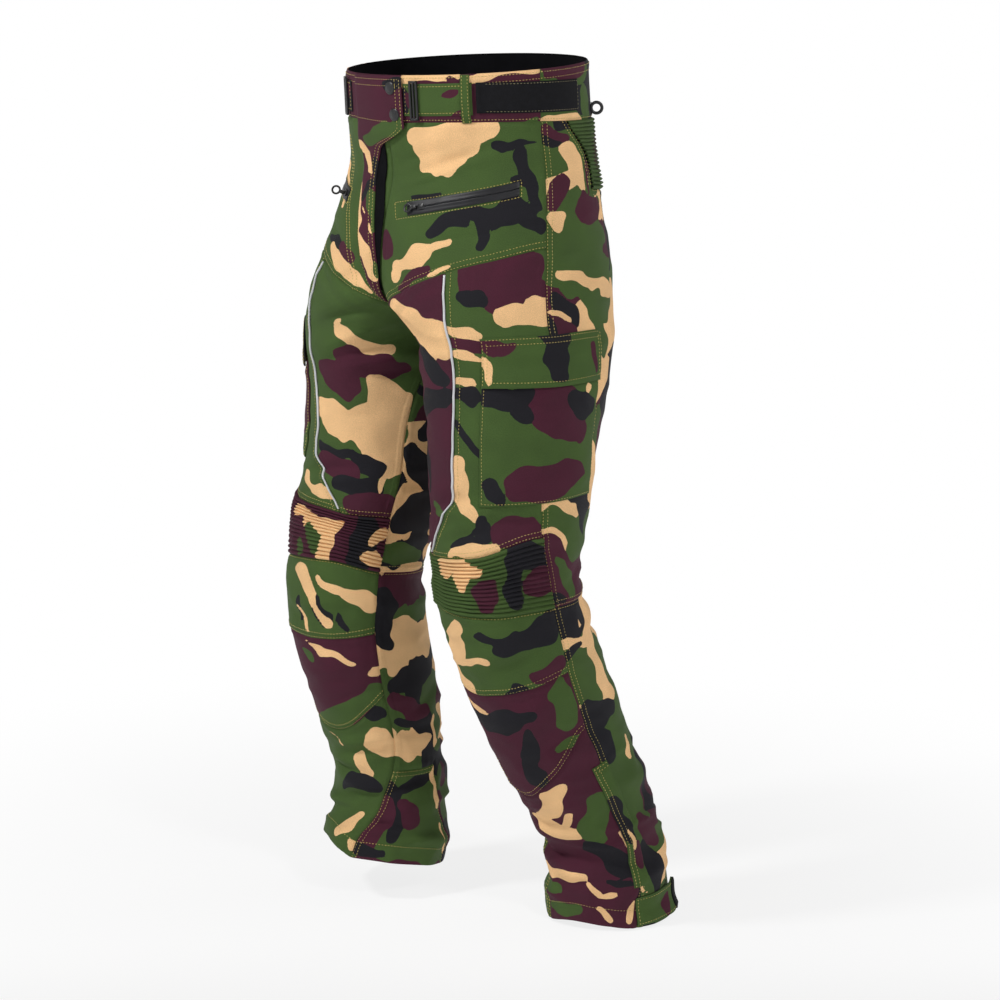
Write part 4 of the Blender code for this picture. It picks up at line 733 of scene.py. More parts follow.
# Patches of the print, laid where the photo shows them, with outlines of their own: for
# each piece its ground, and strokes of (colour, x, y, x, y, half width) in the photo's pixels.
# A later stroke lies over the ones before it.
PIXEL = 0.00117  # metres of the garment to a pixel of the photo
PRINT = {
    "front_yoke_left": ("green", (
        ("tan", 420, 138, 495, 128, 12), ("tan", 425, 152, 462, 148, 13),
        ("tan", 433, 163, 440, 165, 12), ("black", 499, 148, 517, 150, 4),
        ("black", 517, 150, 534, 139, 4.5), ("black", 527, 155, 529, 185, 6.5),
        ("black", 512, 182, 530, 180, 4), ("black", 532, 185, 536, 205, 6.5),
        ("black", 530, 207, 470, 214, 8.5), ("black", 470, 214, 436, 236, 6.5),
        ("black", 480, 215, 474, 240, 6), ("black", 515, 212, 536, 228, 5.5),
        ("black", 412, 193, 440, 193, 4), ("maroon", 383, 230, 388, 256, 6),
        ("tan", 397, 267, 425, 256, 8), ("tan", 425, 256, 450, 247, 4),
        ("tan", 392, 275, 396, 285, 4), ("tan", 415, 262, 418, 272, 5),
        ("maroon", 402, 290, 428, 274, 6), ("tan", 432, 281, 456, 277, 2.5),
        ("tan", 415, 140, 490, 130, 9), ("tan", 430, 160, 470, 145, 12),
    )),
    "thigh_inner_left": ("maroon", (
        ("tan", 395, 308, 412, 318, 6), ("tan", 402, 318, 440, 345, 17),
        ("tan", 430, 335, 446, 350, 17), ("black", 408, 345, 445, 375, 8),
        ("black", 404, 360, 412, 380, 6), ("maroon", 412, 368, 430, 395, 12),
        ("black", 420, 402, 445, 395, 10), ("black", 416, 440, 430, 490, 7),
        ("green", 436, 505, 446, 515, 4),
    )),
    "thigh_outer_left": ("green", (
        ("maroon", 470, 275, 536, 264, 16), ("maroon", 500, 300, 538, 288, 18),
        ("black", 462, 290, 482, 298, 7), ("tan", 499, 316, 541, 312, 10),
        ("tan", 527, 300, 541, 298, 6), ("tan", 450, 334, 478, 337, 4),
        ("maroon", 452, 347, 478, 350, 7), ("tan", 452, 360, 480, 362, 3),
        ("tan", 452, 390, 478, 387, 4), ("black", 452, 402, 476, 398, 6),
        ("black", 454, 428, 480, 452, 4), ("tan", 458, 470, 462, 500, 12),
        ("tan", 456, 500, 470, 520, 5), ("black", 478, 528, 482, 540, 9),
        ("black", 455, 553, 480, 545, 6), ("maroon", 500, 538, 535, 530, 12),
        ("tan", 452, 566, 494, 552, 6),
    )),
    "cargo_flap_left": ("green", (
        ("maroon", 482, 342, 502, 346, 9), ("black", 530, 336, 562, 345, 8),
        ("black", 548, 350, 562, 376, 9), ("tan", 482, 368, 488, 380, 5),
        ("maroon", 594, 345, 594, 372, 4),
    )),
    "cargo_bag_left": ("green", (
        ("maroon", 545, 400, 572, 440, 20), ("black", 485, 394, 528, 400, 9),
        ("black", 520, 410, 532, 424, 8), ("green", 495, 430, 505, 490, 18),
        ("maroon", 520, 485, 570, 478, 15), ("green", 532, 453, 574, 451, 9),
        ("black", 484, 480, 500, 500, 6), ("tan", 588, 391, 590, 391, 4.5),
        ("black", 574, 405, 588, 412, 9), ("green", 591, 455, 590, 488, 7),
    )),
    "seat_and_back_thigh_left": (None, (
        ("green", 555, 150, 600, 300, 34), ("maroon", 548, 128, 564, 135, 8),
        ("black", 545, 135, 558, 141, 5), ("tan", 565, 148, 584, 190, 9),
        ("tan", 545, 190, 575, 180, 9), ("maroon", 560, 182, 556, 208, 8),
        ("tan", 552, 228, 562, 222, 8), ("maroon", 582, 215, 596, 210, 16),
        ("green", 566, 256, 600, 246, 14), ("tan", 562, 270, 590, 278, 5),
        ("tan", 590, 280, 610, 290, 7), ("black", 556, 296, 572, 320, 8),
        ("tan", 548, 310, 566, 320, 3), ("green", 590, 300, 604, 345, 14),
        ("green", 540, 520, 575, 526, 10), ("maroon", 545, 545, 572, 585, 14),
        ("green", 562, 565, 570, 592, 8),
    )),
    "knee_accordion_left": ("green", (
        ("tan", 445, 568, 476, 570, 9), ("tan", 462, 575, 464, 592, 7),
        ("black", 512, 560, 514, 605, 9), ("black", 520, 553, 545, 560, 12),
        ("maroon", 530, 582, 549, 597, 10), ("maroon", 486, 588, 488, 610, 6),
        ("green", 523, 606, 553, 602, 3),
    )),
    "knee_cap_left": ("green", (
        ("tan", 458, 628, 458, 680, 9), ("tan", 462, 660, 486, 666, 4),
        ("tan", 460, 685, 474, 688, 8), ("black", 478, 630, 500, 645, 5),
        ("black", 500, 648, 528, 652, 9), ("black", 528, 650, 550, 620, 12),
        ("maroon", 538, 680, 560, 668, 8), ("black", 507, 692, 528, 689, 3),
    )),
    "shin_left": ("maroon", (
        ("tan", 465, 703, 496, 715, 3), ("black", 478, 716, 530, 722, 9),
        ("black", 528, 735, 532, 765, 8), ("black", 532, 765, 545, 785, 9),
        ("green", 560, 690, 570, 722, 10), ("green", 566, 750, 592, 748, 7),
        ("tan", 586, 736, 590, 738, 4),
    )),
    "lower_front_left": ("maroon", (
        ("tan", 560, 790, 540, 815, 9), ("tan", 540, 820, 576, 838, 9),
        ("tan", 566, 815, 568, 828, 5), ("green", 598, 800, 600, 835, 13),
        ("black", 590, 848, 630, 862, 8), ("tan", 550, 868, 582, 872, 7),
        ("tan", 586, 880, 600, 898, 4), ("tan", 600, 897, 618, 895, 5),
        ("tan", 602, 914, 616, 928, 3), ("green", 550, 884, 562, 890, 6),
        ("green", 555, 906, 576, 914, 5), ("black", 606, 878, 632, 880, 4),
        ("tan", 620, 834, 634, 846, 3), ("tan", 631, 908, 629, 928, 3),
    )),
    "calf_left": (None, (
        ("green", 590, 640, 640, 840, 26), ("tan", 568, 618, 576, 618, 4),
        ("black", 550, 612, 572, 622, 8), ("tan", 580, 600, 590, 650, 14),
        ("tan", 564, 646, 590, 642, 6), ("tan", 590, 650, 612, 695, 11),
        ("black", 567, 658, 579, 646, 5), ("green", 598, 630, 602, 655, 6),
        ("green", 570, 680, 600, 690, 10), ("black", 590, 715, 612, 712, 12),
        ("black", 595, 725, 612, 760, 11), ("tan", 625, 735, 632, 760, 4),
        ("green", 628, 775, 634, 808, 10), ("maroon", 640, 815, 655, 840, 10),
        ("black", 648, 850, 660, 884, 10), ("green", 648, 872, 656, 896, 5),
    )),
    "waistband_front_left": ("maroon", (
        ("tan", 406, 80, 452, 75, 7), ("tan", 474, 72, 534, 68, 6), ("maroon", 446, 80, 500, 84, 5),
        ("green", 520, 119, 534, 118, 4),
    )),
    "waistband_back": (None, (
        ("maroon", 546, 70, 584, 66, 9), ("green", 580, 92, 586, 108, 8),
        ("tan", 546, 118, 580, 119, 4),
    )),
    "fly_flap": ("maroon", (
        ("black", 385, 86, 398, 82, 8), ("green", 366, 138, 398, 128, 6),
        ("tan", 357, 145, 366, 152, 5), ("tan", 366, 152, 369, 172, 4),
        ("green", 357, 157, 362, 175, 4), ("black", 374, 158, 374, 180, 5),
        ("black", 372, 180, 362, 200, 5), ("green", 370, 197, 372, 225, 5),
        ("tan", 358, 187, 358, 235, 4), ("tan", 358, 235, 372, 270, 8),
        ("tan", 362, 210, 371, 230, 1.5), ("green", 374, 260, 377, 272, 2.5),
    )),
    "front_yoke_right": ("green", (
        ("tan", 350, 165, 343, 205, 5), ("green", 340, 212, 352, 235, 7),
        ("black", 330, 238, 345, 244, 4), ("maroon", 345, 243, 354, 256, 6),
        ("tan", 332, 248, 350, 270, 6), ("tan", 350, 270, 372, 296, 5),
        ("green", 362, 274, 374, 288, 4),
    )),
    "waistband_front_right": ("maroon", (
        ("black", 365, 90, 380, 95, 6),
    )),
    "thigh_inner_right": ("green", (
        ("tan", 340, 335, 395, 350, 6), ("tan", 337, 330, 345, 327, 3),
        ("maroon", 325, 365, 350, 388, 14), ("maroon", 345, 360, 404, 372, 13),
        ("tan", 322, 405, 345, 420, 14), ("tan", 375, 395, 402, 400, 14),
        ("tan", 345, 425, 398, 425, 20), ("tan", 372, 445, 400, 465, 14),
        ("black", 320, 440, 350, 455, 6), ("black", 350, 455, 380, 472, 8),
        ("maroon", 320, 455, 350, 470, 11), ("black", 330, 482, 385, 488, 9),
        ("maroon", 345, 505, 386, 503, 11), ("tan", 386, 490, 390, 474, 4),
    )),
    "thigh_outer_right": ("green", (
        ("tan", 305, 480, 330, 498, 6), ("maroon", 302, 400, 304, 430, 6),
    )),
    "knee_accordion_right": ("maroon", (
        ("tan", 301, 507, 344, 530, 9), ("tan", 344, 530, 326, 558, 9),
        ("tan", 306, 520, 330, 545, 9), ("green", 311, 528, 315, 545, 8),
        ("green", 299, 541, 301, 552, 5), ("maroon", 350, 522, 338, 560, 8),
        ("black", 365, 520, 360, 562, 12), ("tan", 372, 546, 386, 539, 4),
        ("tan", 368, 557, 383, 562, 6),
    )),
    "knee_cap_right": ("green", (
        ("black", 298, 602, 302, 622, 5), ("black", 318, 600, 330, 625, 7),
        ("black", 343, 617, 348, 628, 4), ("tan", 298, 566, 314, 596, 7),
        ("tan", 314, 596, 333, 629, 4), ("tan", 300, 610, 312, 635, 3),
        ("tan", 320, 577, 345, 590, 4), ("tan", 345, 590, 374, 604, 7),
    )),
    "shin_right": ("maroon", (
        ("tan", 308, 639, 325, 651, 3.5), ("tan", 325, 651, 350, 661, 4),
        ("tan", 372, 677, 380, 672, 7), ("green", 320, 718, 380, 695, 12),
        ("green", 303, 650, 310, 656, 5),
    )),
    "lower_front_right": ("green", (
        ("tan", 370, 745, 388, 742, 14), ("tan", 331, 732, 343, 746, 3),
        ("tan", 356, 762, 372, 775, 8), ("black", 344, 785, 374, 788, 6),
        ("black", 360, 712, 384, 715, 6), ("tan", 338, 830, 362, 818, 6),
        ("tan", 348, 842, 354, 848, 5),
    )),
    "seat_and_back_thigh_right": (None, (
        ("black", 402, 520, 424, 500, 14), ("green", 390, 550, 418, 550, 9),
        ("tan", 382, 573, 418, 568, 9), ("green", 396, 430, 404, 440, 6),
        ("black", 414, 450, 424, 480, 10),
    )),
    "calf_right": (None, (
        ("black", 383, 592, 383, 640, 9), ("maroon", 400, 580, 415, 605, 12),
        ("green", 412, 612, 428, 612, 7), ("tan", 390, 670, 404, 645, 8),
        ("tan", 404, 640, 430, 632, 12), ("black", 395, 685, 428, 662, 10),
        ("maroon", 395, 700, 420, 705, 11), ("black", 394, 720, 420, 718, 4),
        ("green", 432, 700, 436, 740, 7), ("tan", 385, 745, 420, 742, 14),
    )),
    "lower_gusset_right": ("green", (
        ("black", 386, 795, 395, 832, 10), ("black", 400, 786, 430, 783, 6),
        ("maroon", 376, 805, 366, 845, 11), ("maroon", 405, 805, 415, 822, 9),
        ("black", 355, 850, 385, 852, 6), ("maroon", 360, 866, 436, 866, 6),
        ("tan", 437, 775, 440, 808, 4), ("tan", 440, 826, 442, 850, 3),
    )),
    "back_yoke": ("green", (
        ("maroon", 596, 130, 597, 180, 3),
    )),
    "cargo_bag_right": (None, (
        ("maroon", 304, 375, 304, 425, 16),
    )),
    "cargo_flap_right": (None, (
        ("black", 304, 348, 304, 366, 9),
    )),
    "adjuster_strap_left": ("green", (
        ("black", 404, 92, 406, 112, 5), ("maroon", 408, 98, 410, 110, 3),
        ("maroon", 446, 90, 460, 91, 3), ("maroon", 456, 115, 466, 114, 3),
    )),
    "belt_loop_left": ("green", (
    )),
    "hem_tab_left": ("green", (
        ("maroon", 664, 898, 668, 922, 5),
    )),
    "vent_flap_left": ("green", (
        ("black", 612, 800, 630, 840, 8), ("maroon", 636, 845, 640, 862, 6),
        ("tan", 626, 828, 634, 850, 2.5),
    )),
}


DEEP = 0.06  # metres inside or outside a colour where nothing else is painted
LEAST_FACING = 0.05  # of the cloth's normal towards the camera, where the photo shows it
LIFT_SHARE = 0.3  # height over the cloth counts less, so that a stroke follows a curved piece


def paint(fields, colour, shape):
    """Lays a patch over what is there; shape is its distance inside its edge, in metres."""
    k = COLOURS.index(colour)
    for j in range(4):
        if j == k:
            fields[..., j] = np.maximum(fields[..., j], shape)
        else:
            fields[..., j] = np.minimum(fields[..., j], -shape)


WAVES = ((0.0095, 0.036, 11), (0.0046, 0.015, 21))  # the outlines': shift, grain, seed


def warp(places, seed):
    """Shifts places so that straight outlines become the print's wavy ones."""
    moved = places.copy()
    for k in range(3):
        for shift, size, first in WAVES:
            moved[..., k] += shift * noise(places, size, seed + first + k)
    return moved


def towards_camera():
    """The direction from the garment to the photo's camera."""
    turn, rise = math.radians(AZIMUTH), math.radians(ELEVATION)
    level = math.cos(rise)
    return np.array([math.sin(turn) * level, -math.cos(turn) * level, math.sin(rise)])


def in_photo(points):
    """Where points of the garment lie in the photo, in pixels."""
    back, turn = towards_camera(), math.radians(AZIMUTH)
    across = np.array([math.cos(turn), math.sin(turn), 0.0])
    here = points - np.array(TARGET)
    scale = LENS_PX / (DISTANCE - here @ back)
    x = PHOTO_MIDDLE + (here @ across) * scale
    y = PHOTO_MIDDLE - (here @ np.cross(back, across)) * scale
    return np.stack([x, y], -1)


def print_at(cloth, pixels, seen, x, y):
    """The place on the cloth that the photo shows at a pixel, and the normal there."""
    miss = np.hypot(pixels[..., 0] - x, pixels[..., 1] - y) + np.where(seen, 0, PHOTO_MIDDLE)
    k = np.argmin(miss)
    return cloth.points.reshape(-1, 3)[k], cloth.out.reshape(-1, 3)[k]


def free_print(moved, seed):
    """The print where the photo gives no patches: green and maroon, under tan and black."""
    green = 0.03 * noise(moved, 0.075, seed + 1) + 0.002
    outside = np.full(green.shape, -DEEP)
    fields = np.stack([outside, green, -green, outside], -1)
    paint(fields, "tan", 0.035 * (noise(moved, 0.062, seed + 2) - 0.24))
    branch = 0.24 - np.abs(noise(moved, 0.070, seed + 3))
    paint(fields, "black", 0.030 * np.minimum(branch, noise(moved, 0.055, seed + 4) - 0.02))
    return fields


def ground_print(moved, seed, ground, facing):
    """A ground colour, with free patches of all four where it faces away from the photo."""
    fields = np.full(moved.shape[:2] + (4,), -DEEP)
    fields[..., COLOURS.index(ground)] = DEEP
    unseen = smooth((-facing - 0.02) / 0.25)
    for k, colour in enumerate(("green", "tan", "maroon", "black")):
        wild = 0.03 * (noise(moved, 0.066, seed + 41 + k) - 0.26)
        paint(fields, colour, wild - DEEP * (1 - unseen))
    return fields


def inside_stroke(moved, ends, half_width, seed):
    """How far points lie inside a stroke between two places with normals."""
    (a, out_a), (b, out_b) = ends
    out = unit(out_a + out_b)
    here, run = moved - a, b - a
    lift, rise = (here @ out)[..., None], float(run @ out)
    flat, run = here - lift * out, run - rise * out
    t = np.clip(flat @ run / max(run @ run, 1e-9), 0, 1)[..., None]
    away = np.linalg.norm(flat - t * run, axis=-1)
    away = np.hypot(away, LIFT_SHARE * (lift - t * rise)[..., 0])
    taper = 1.20 - 0.34 * (2 * t[..., 0] - 1) ** 2
    return half_width * PIXEL * taper * (1 + 0.40 * noise(moved, 0.022, seed + 31)) - away


def camouflage(cloth, name):
    """How far each point lies inside each of the print's four colours."""
    seed = sum(ord(letter) * (k + 1) for k, letter in enumerate(name)) % 997
    moved, facing = warp(cloth.points, seed), cloth.out @ towards_camera()
    ground, strokes = PRINT.get(name, (None, ()))
    fields = ground_print(moved, seed, ground, facing) if ground else free_print(moved, seed)
    pixels, seen = in_photo(cloth.points), facing > LEAST_FACING
    for colour, x_a, y_a, x_b, y_b, half_width in strokes:
        ends = [print_at(cloth, pixels, seen, *pixel) for pixel in ((x_a, y_a), (x_b, y_b))]
        paint(fields, colour, inside_stroke(moved, ends, half_width, seed))
    return fields


# ---------------------------------------------------------------- materials
WAVE_PERIOD = 0.314  # metres between the bands of a wave texture at scale 1


class Graph:
    """A short way to write a material's nodes."""

    def __init__(self, name):
        self.material = bpy.data.materials.new(name)
        self.material.use_nodes = True
        self.tree = self.material.node_tree
        self.shader = self.tree.nodes["Principled BSDF"]

    def add(self, kind, settings=None, **inputs):
        """A node; an input goes by its name, or by its number as in _0."""
        new = self.tree.nodes.new("ShaderNode" + kind)
        for key, value in (settings or {}).items():
            setattr(new, key, value)
        for key, value in inputs.items():
            socket = new.inputs[int(key[1:])] if key[0] == "_" else new.inputs[key]
            if isinstance(value, bpy.types.NodeSocket):
                self.tree.links.new(value, socket)
            else:
                socket.default_value = value
        return new

    def math(self, operation, a, b=0.0):
        return self.add("Math", {"operation": operation}, _0=a, _1=b).outputs[0]

    def mix(self, share, a, b, blend="MIX"):
        new = self.add("Mix", {"data_type": "RGBA", "blend_type": blend}, _0=share, _6=a, _7=b)
        return new.outputs[2]

    def noise(self, place, scale, detail):
        return self.add("TexNoise", Vector=place, Scale=scale, Detail=detail).outputs[0]

    def spread(self, value, source, target, curve="LINEAR"):
        """Carries a value from one range over to another."""
        ranges = dict(zip(("_1", "_2", "_3", "_4"), (*source, *target)))
        return self.add("MapRange", {"interpolation_type": curve}, Value=value, **ranges).outputs[0]

    def grey(self, tone):
        return self.add("CombineColor", _0=tone, _1=tone, _2=tone).outputs[0]

    def link(self, output, name):
        self.tree.links.new(output, self.shader.inputs[name])

    def set(self, **values):
        for key, value in values.items():
            self.shader.inputs[key.replace("_", " ")].default_value = value

    def tint(self, colour, tone):
        """Sets the base colour: a colour times a tone."""
        self.link(self.mix(1.0, colour, self.grey(tone), "MULTIPLY"), "Base Color")

    def bump(self, height, strength, distance, invert=False):
        new = self.add("Bump", {"invert": invert}, Height=height, Strength=strength,
                       Distance=distance)
        self.link(new.outputs[0], "Normal")


def rgb(colour):
    return (*colour, 1.0)


def weave_height(graph, period):
    """A plain weave over the piece's own cloth coordinates, which are in metres."""
    place = graph.add("UVMap").outputs[0]
    waves = [
        graph.add("TexWave", {"bands_direction": way}, Vector=place,
                  Scale=WAVE_PERIOD / period).outputs["Fac"]
        for way in ("X", "Y")
    ]
    return place, graph.math("MAXIMUM", waves[0], waves[1])


def camo_material(name, period):
    """The printed cloth: the colour that a point lies furthest inside, faded and woven."""
    g = Graph(name)
    found = g.add("Attribute", {"attribute_name": "camo"})
    tan, green, maroon = g.add("SeparateColor", _0=found.outputs["Color"]).outputs[:3]
    black = found.outputs["Alpha"]
    place, weave = weave_height(g, period)
    wobble = g.math("MULTIPLY", g.math("SUBTRACT", g.noise(place, 420.0, 2.0), 0.5), 0.0008)

    def further_in(field, others):
        return g.math("GREATER_THAN", g.math("ADD", field, wobble), others)

    colour = g.mix(further_in(green, maroon), rgb(CAMO_RGB["maroon"]), rgb(CAMO_RGB["green"]))
    best = g.math("MAXIMUM", green, maroon)
    colour = g.mix(further_in(tan, best), colour, rgb(CAMO_RGB["tan"]))
    best = g.math("MAXIMUM", best, tan)
    colour = g.mix(further_in(black, best), colour, rgb(CAMO_RGB["black"]))
    faded = g.noise(place, 22.0, 4.0)
    shade = g.spread(faded, (0.25, 0.75), (0.86, 1.10))
    thread = g.spread(weave, (0.0, 1.0), (0.72, 1.10))
    slub = g.spread(g.noise(place, 900.0, 1.0), (0.2, 0.8), (0.80, 1.20))
    g.tint(colour, g.math("MULTIPLY", g.math("MULTIPLY", shade, thread), slub))
    g.link(g.spread(faded, (0.3, 0.7), (0.74, 0.88)), "Roughness")
    g.bump(g.math("ADD", weave, g.math("MULTIPLY", slub, 0.6)), 0.45, 0.0003)
    g.set(Sheen_Weight=0.02, Sheen_Roughness=0.45, Specular_IOR_Level=0.18)
    return g.material


def cloth_material(name, colour, period, roughness, strength, specular):
    """Plain woven cloth or tape of one colour."""
    g = Graph(name)
    place, weave = weave_height(g, period)
    worn = g.noise(place, 60.0, 5.0)
    thread = g.spread(weave, (0.0, 1.0), (0.75, 1.1))
    g.tint(rgb(colour), g.math("MULTIPLY", g.spread(worn, (0.25, 0.75), (0.70, 1.35)), thread))
    g.link(g.spread(worn, (0.0, 1.0), (roughness - 0.08, roughness + 0.08)), "Roughness")
    g.bump(weave, strength, 0.0003)
    g.set(Specular_IOR_Level=specular)
    return g.material


def hook_material(name, colour):
    """Hook-and-loop tape: a dense field of tiny hooks."""
    g = Graph(name)
    place = g.add("UVMap").outputs[0]
    hooks = g.add("TexVoronoi", Vector=place, Scale=620.0, Randomness=0.55).outputs["Distance"]
    lint = g.noise(place, 150.0, 6.0)
    g.tint(rgb(colour), g.spread(lint, (0.40, 0.8), (0.8, 1.5)))
    g.link(g.spread(lint, (0.0, 1.0), (0.78, 0.98)), "Roughness")
    g.bump(hooks, 0.5, 0.0005, invert=True)
    g.set(Specular_IOR_Level=0.2)
    return g.material


def plastic_material(name, colour):
    """Moulded plastic with a fine grain and rubbed patches at random."""
    g = Graph(name)
    place = g.add("TexCoord").outputs["Object"]
    rubbed = g.noise(place, 160.0, 4.0)
    g.tint(rgb(colour), g.spread(rubbed, (0.3, 0.8), (0.8, 1.7)))
    g.link(g.spread(rubbed, (0.0, 1.0), (0.28, 0.5)), "Roughness")
    g.bump(g.noise(place, 2600.0, 2.0), 0.25, 0.0001)
    return g.material


def thread_material(name, colour):
    """Polyester thread, unevenly dyed."""
    g = Graph(name)
    dye = g.noise(g.add("TexCoord").outputs["Object"], 300.0, 3.0)
    g.tint(rgb(colour), g.spread(dye, (0.25, 0.75), (0.6, 1.3)))
    g.set(Roughness=0.5, Sheen_Weight=0.2)
    return g.material


def piping_material(name, colour):
    """Reflective cord: glass beads on a woven tape."""
    g = Graph(name)
    place = g.add("TexCoord").outputs["Object"]
    beads = g.add("TexVoronoi", Vector=place, Scale=2400.0).outputs["Distance"]
    stain = g.noise(place, 45.0, 4.0)
    g.tint(rgb(colour), g.spread(stain, (0.25, 0.75), (0.82, 1.05)))
    g.bump(beads, 0.3, 0.0002)
    g.set(Roughness=0.38, Metallic=0.15)
    return g.material


CAMO = camo_material("camo_cloth_look", 0.0010)
ELASTIC = camo_material("camo_elastic_look", 0.0007)
# Black lining, darker than black cloth: partly its own black, partly painted shade for the dark
# inside of the waist and beside the fly flap.
LINING_AND_PAINTED_SHADE = cloth_material("lining_and_painted_shade_look", (0.004, 0.004, 0.005), period=0.0008, roughness=0.92,
                        strength=0.3, specular=0.08)
TAPE = cloth_material("zip_tape_look", (0.009, 0.009, 0.011), period=0.0006, roughness=0.46,
                      strength=0.06, specular=0.35)
HOOKS = hook_material("hook_tape_look", (0.006, 0.006, 0.0075))
PLASTIC = plastic_material("black_plastic_look", (0.007, 0.007, 0.008))
THREAD_LOOK = thread_material("topstitch_look", (0.50, 0.38, 0.09))
TAPE_THREAD = thread_material("tape_stitch_look", (0.20, 0.17, 0.08))
PIPING = piping_material("piping_look", (0.60, 0.61, 0.63))


# ---------------------------------------------------------------- the panels
# name: first and last row, first and last column, what it hangs from, and the stitch rows'
# distances (metres) from its top, foot, front and back edges.
PANELS = {
    "waistband_front": ("waist_top", "waistband", "front_inseam", "side", "waist_facing",
                        (0.0035, 0.0105), (0.003,), (), ()),
    "front_yoke": ("waistband", "front_yoke", "front_inseam", "side", "waistband_front",
                   (), (0.0025, 0.0085), (), ()),
    "thigh_inner": ("front_yoke", "knee_top", "front_inseam", "piping", "front_yoke",
                    (), (0.0025, 0.0075), (), ()),
    "thigh_outer": ("front_yoke", "knee_top", "piping", "side", "front_yoke",
                    (), (0.0025, 0.0075), (0.0075,), ()),
    "knee_cap": ("knee_foot", "cap_foot", "front_inseam", "side", "knee_accordion",
                 (0.0025,), (0.0025, 0.0080), (), ()),
    "shin": ("cap_foot", "shin_foot", "front_inseam", "side", "knee_cap",
             (), (0.0025, 0.0080), (), ()),
    "lower_front": ("shin_foot", "hem", "front_inseam", "side", "shin",
                    (), (0.0210,), (), ()),
    "lower_gusset": ("gusset_top", "hem", "gusset", "back_inseam", "calf",
                     (0.0025, 0.0075), (0.0210,), (0.0025,), (0.0020, 0.0070)),
    "seat_and_back_thigh": ("waistband", "knee_foot", "side", "back_inseam", "waistband_back",
                            (), (0.0025, 0.0075), (0.0018, 0.0072), ()),
    "calf": ("knee_foot", "hem", "side", "back_inseam", "seat_and_back_thigh",
             (0.0025,), (0.0210,), (0.0018, 0.0072), ()),
}
ONE_PIECE = ("waist_facing", "waistband_back")  # these run across both sides
YOKE_SEAM_INSETS = (0.0020, 0.0075)
GROOVE, GROOVE_WIDTH = 0.0010, 0.0017  # a seam's depth and half width
SEAM_RISE, SEAM_RUN = 0.0005, 0.0090  # of the layers folded under beside it
PUCKER, PUCKER_PITCH, PUCKER_RUN = 0.00042, 0.0105, 0.009
PUCKER_DRIFT, PUCKER_GRAIN = 3.0, 0.030  # how uneven their pitch is, in radians and metres


def seam_relief(cloth, axis, at, first=0, last=None):
    """Height beside a seam: its groove, the layers under it, and its puckers."""
    along, beside = (cloth.down, cloth.across) if axis == "row" else (cloth.across, cloth.down)
    start = along[at][None] if axis == "row" else along[:, at][:, None]
    away = np.abs(along - start)
    here = np.zeros(away.shape)
    span = slice(first, last)
    if axis == "row":
        here[:, span] = 1
    else:
        here[span] = 1
    groove = -GROOVE * np.exp(-((away / GROOVE_WIDTH) ** 2))
    under = SEAM_RISE * smooth((SEAM_RUN - away) / 0.002) * smooth(away / 0.0015)
    drift = PUCKER_DRIFT * noise(cloth.points, PUCKER_GRAIN, 8)
    wave = np.sin(2 * math.pi * beside / PUCKER_PITCH + drift)
    pucker = PUCKER * wave * np.exp(-away / PUCKER_RUN) * smooth(away / 0.003)
    return here * (groove + under + pucker)


def lattice_cloth(half, v_list, u_list, height=0.0):
    v, u = np.meshgrid(v_list, u_list, indexing="ij")
    return Cloth(*dressed(half, v, u, height))


def index_of(stops, value):
    return int(np.argmin(np.abs(stops - value)))


def panel_cut(kind, half, v_list, u_list):
    """The block missing at a panel's back edge: its first row, last row and first column."""
    if kind == "seat_and_back_thigh":
        return 0, index_of(v_list, half.row["back_yoke"]), index_of(u_list, COLUMN["cargo_back"])
    if kind == "calf":
        top = index_of(v_list, half.row["gusset_top"])
        return top, len(v_list) - 1, index_of(u_list, COLUMN["gusset"])
    return None


def leg_panels(half):
    for kind, (top, foot, start, end, above, *insets) in PANELS.items():
        rows, columns = (half.row[top], half.row[foot]), (COLUMN[start], COLUMN[end])
        v_list, u_list = lattice_stops(half, rows, columns)
        cloth = lattice_cloth(half, v_list, u_list)
        cells, cut = None, panel_cut(kind, half, v_list, u_list)
        seams = [("row", 0), ("column", 0), ("column", -1)]
        if foot != "hem":
            seams.append(("row", -1))
        if cut:
            first, last, column = cut
            cells = np.ones((len(v_list) - 1, len(u_list) - 1), bool)
            cells[first:last, column:] = False
            seams.append(("row", last if first == 0 else first, column, None))
            seams.append(("column", column, first, last))
        cloth.raise_by(sum(seam_relief(cloth, *seam) for seam in seams))
        cloth.measure()
        rests = above if above in ONE_PIECE else f"{above}_{half.side}"
        sewn_piece(f"{kind}_{half.side}", cloth, CLOTH, "hung", [rests], [CAMO, LINING_AND_PAINTED_SHADE],
                   cells=cells)
        sew_panel(half.side, cloth, insets, cut)


def sew_panel(side, cloth, insets, cut):
    """A panel's rows of stitches, which stop where a block is cut out of it."""
    top, foot, front, back = insets
    first, last, column = cut or (None, None, None)
    top_end = column if cut and first == 0 else None
    foot_end = column if cut and first else None
    for inset in top:
        sew(side, cloth.line("row", 0, inset, 0, top_end))
    for inset in foot:
        sew(side, cloth.line("row", -1, -inset, 0, foot_end))
    sew_edges(side, cloth, front=front, back=back)
    if top_end:
        for inset in YOKE_SEAM_INSETS:
            sew(side, cloth.line("column", column, -inset, 0, last))
            sew(side, cloth.line("row", last, inset, column, None))


RIB_PITCH = 0.0036  # of the grid along a rib
RIB_GAIN = 1.3
KNEE_RIB_STEPS, YOKE_RIB_STEPS = 9, 8  # of the grid over one rib


def ribs(share, count, points, seed):
    """Ribs over a share of 0 to 1 down a gathered panel: rounded crests, pinched valleys."""
    drift = 0.16 * noise(points, 0.030, seed) / count
    turn = (share + drift * np.sin(math.pi * share)) * count
    crest = np.abs(np.sin(math.pi * turn)) ** 0.75
    uneven = 1.0 + 0.35 * noise(points, 0.013, seed + 1)
    return RIB_HEIGHT * RIB_GAIN * crest * uneven


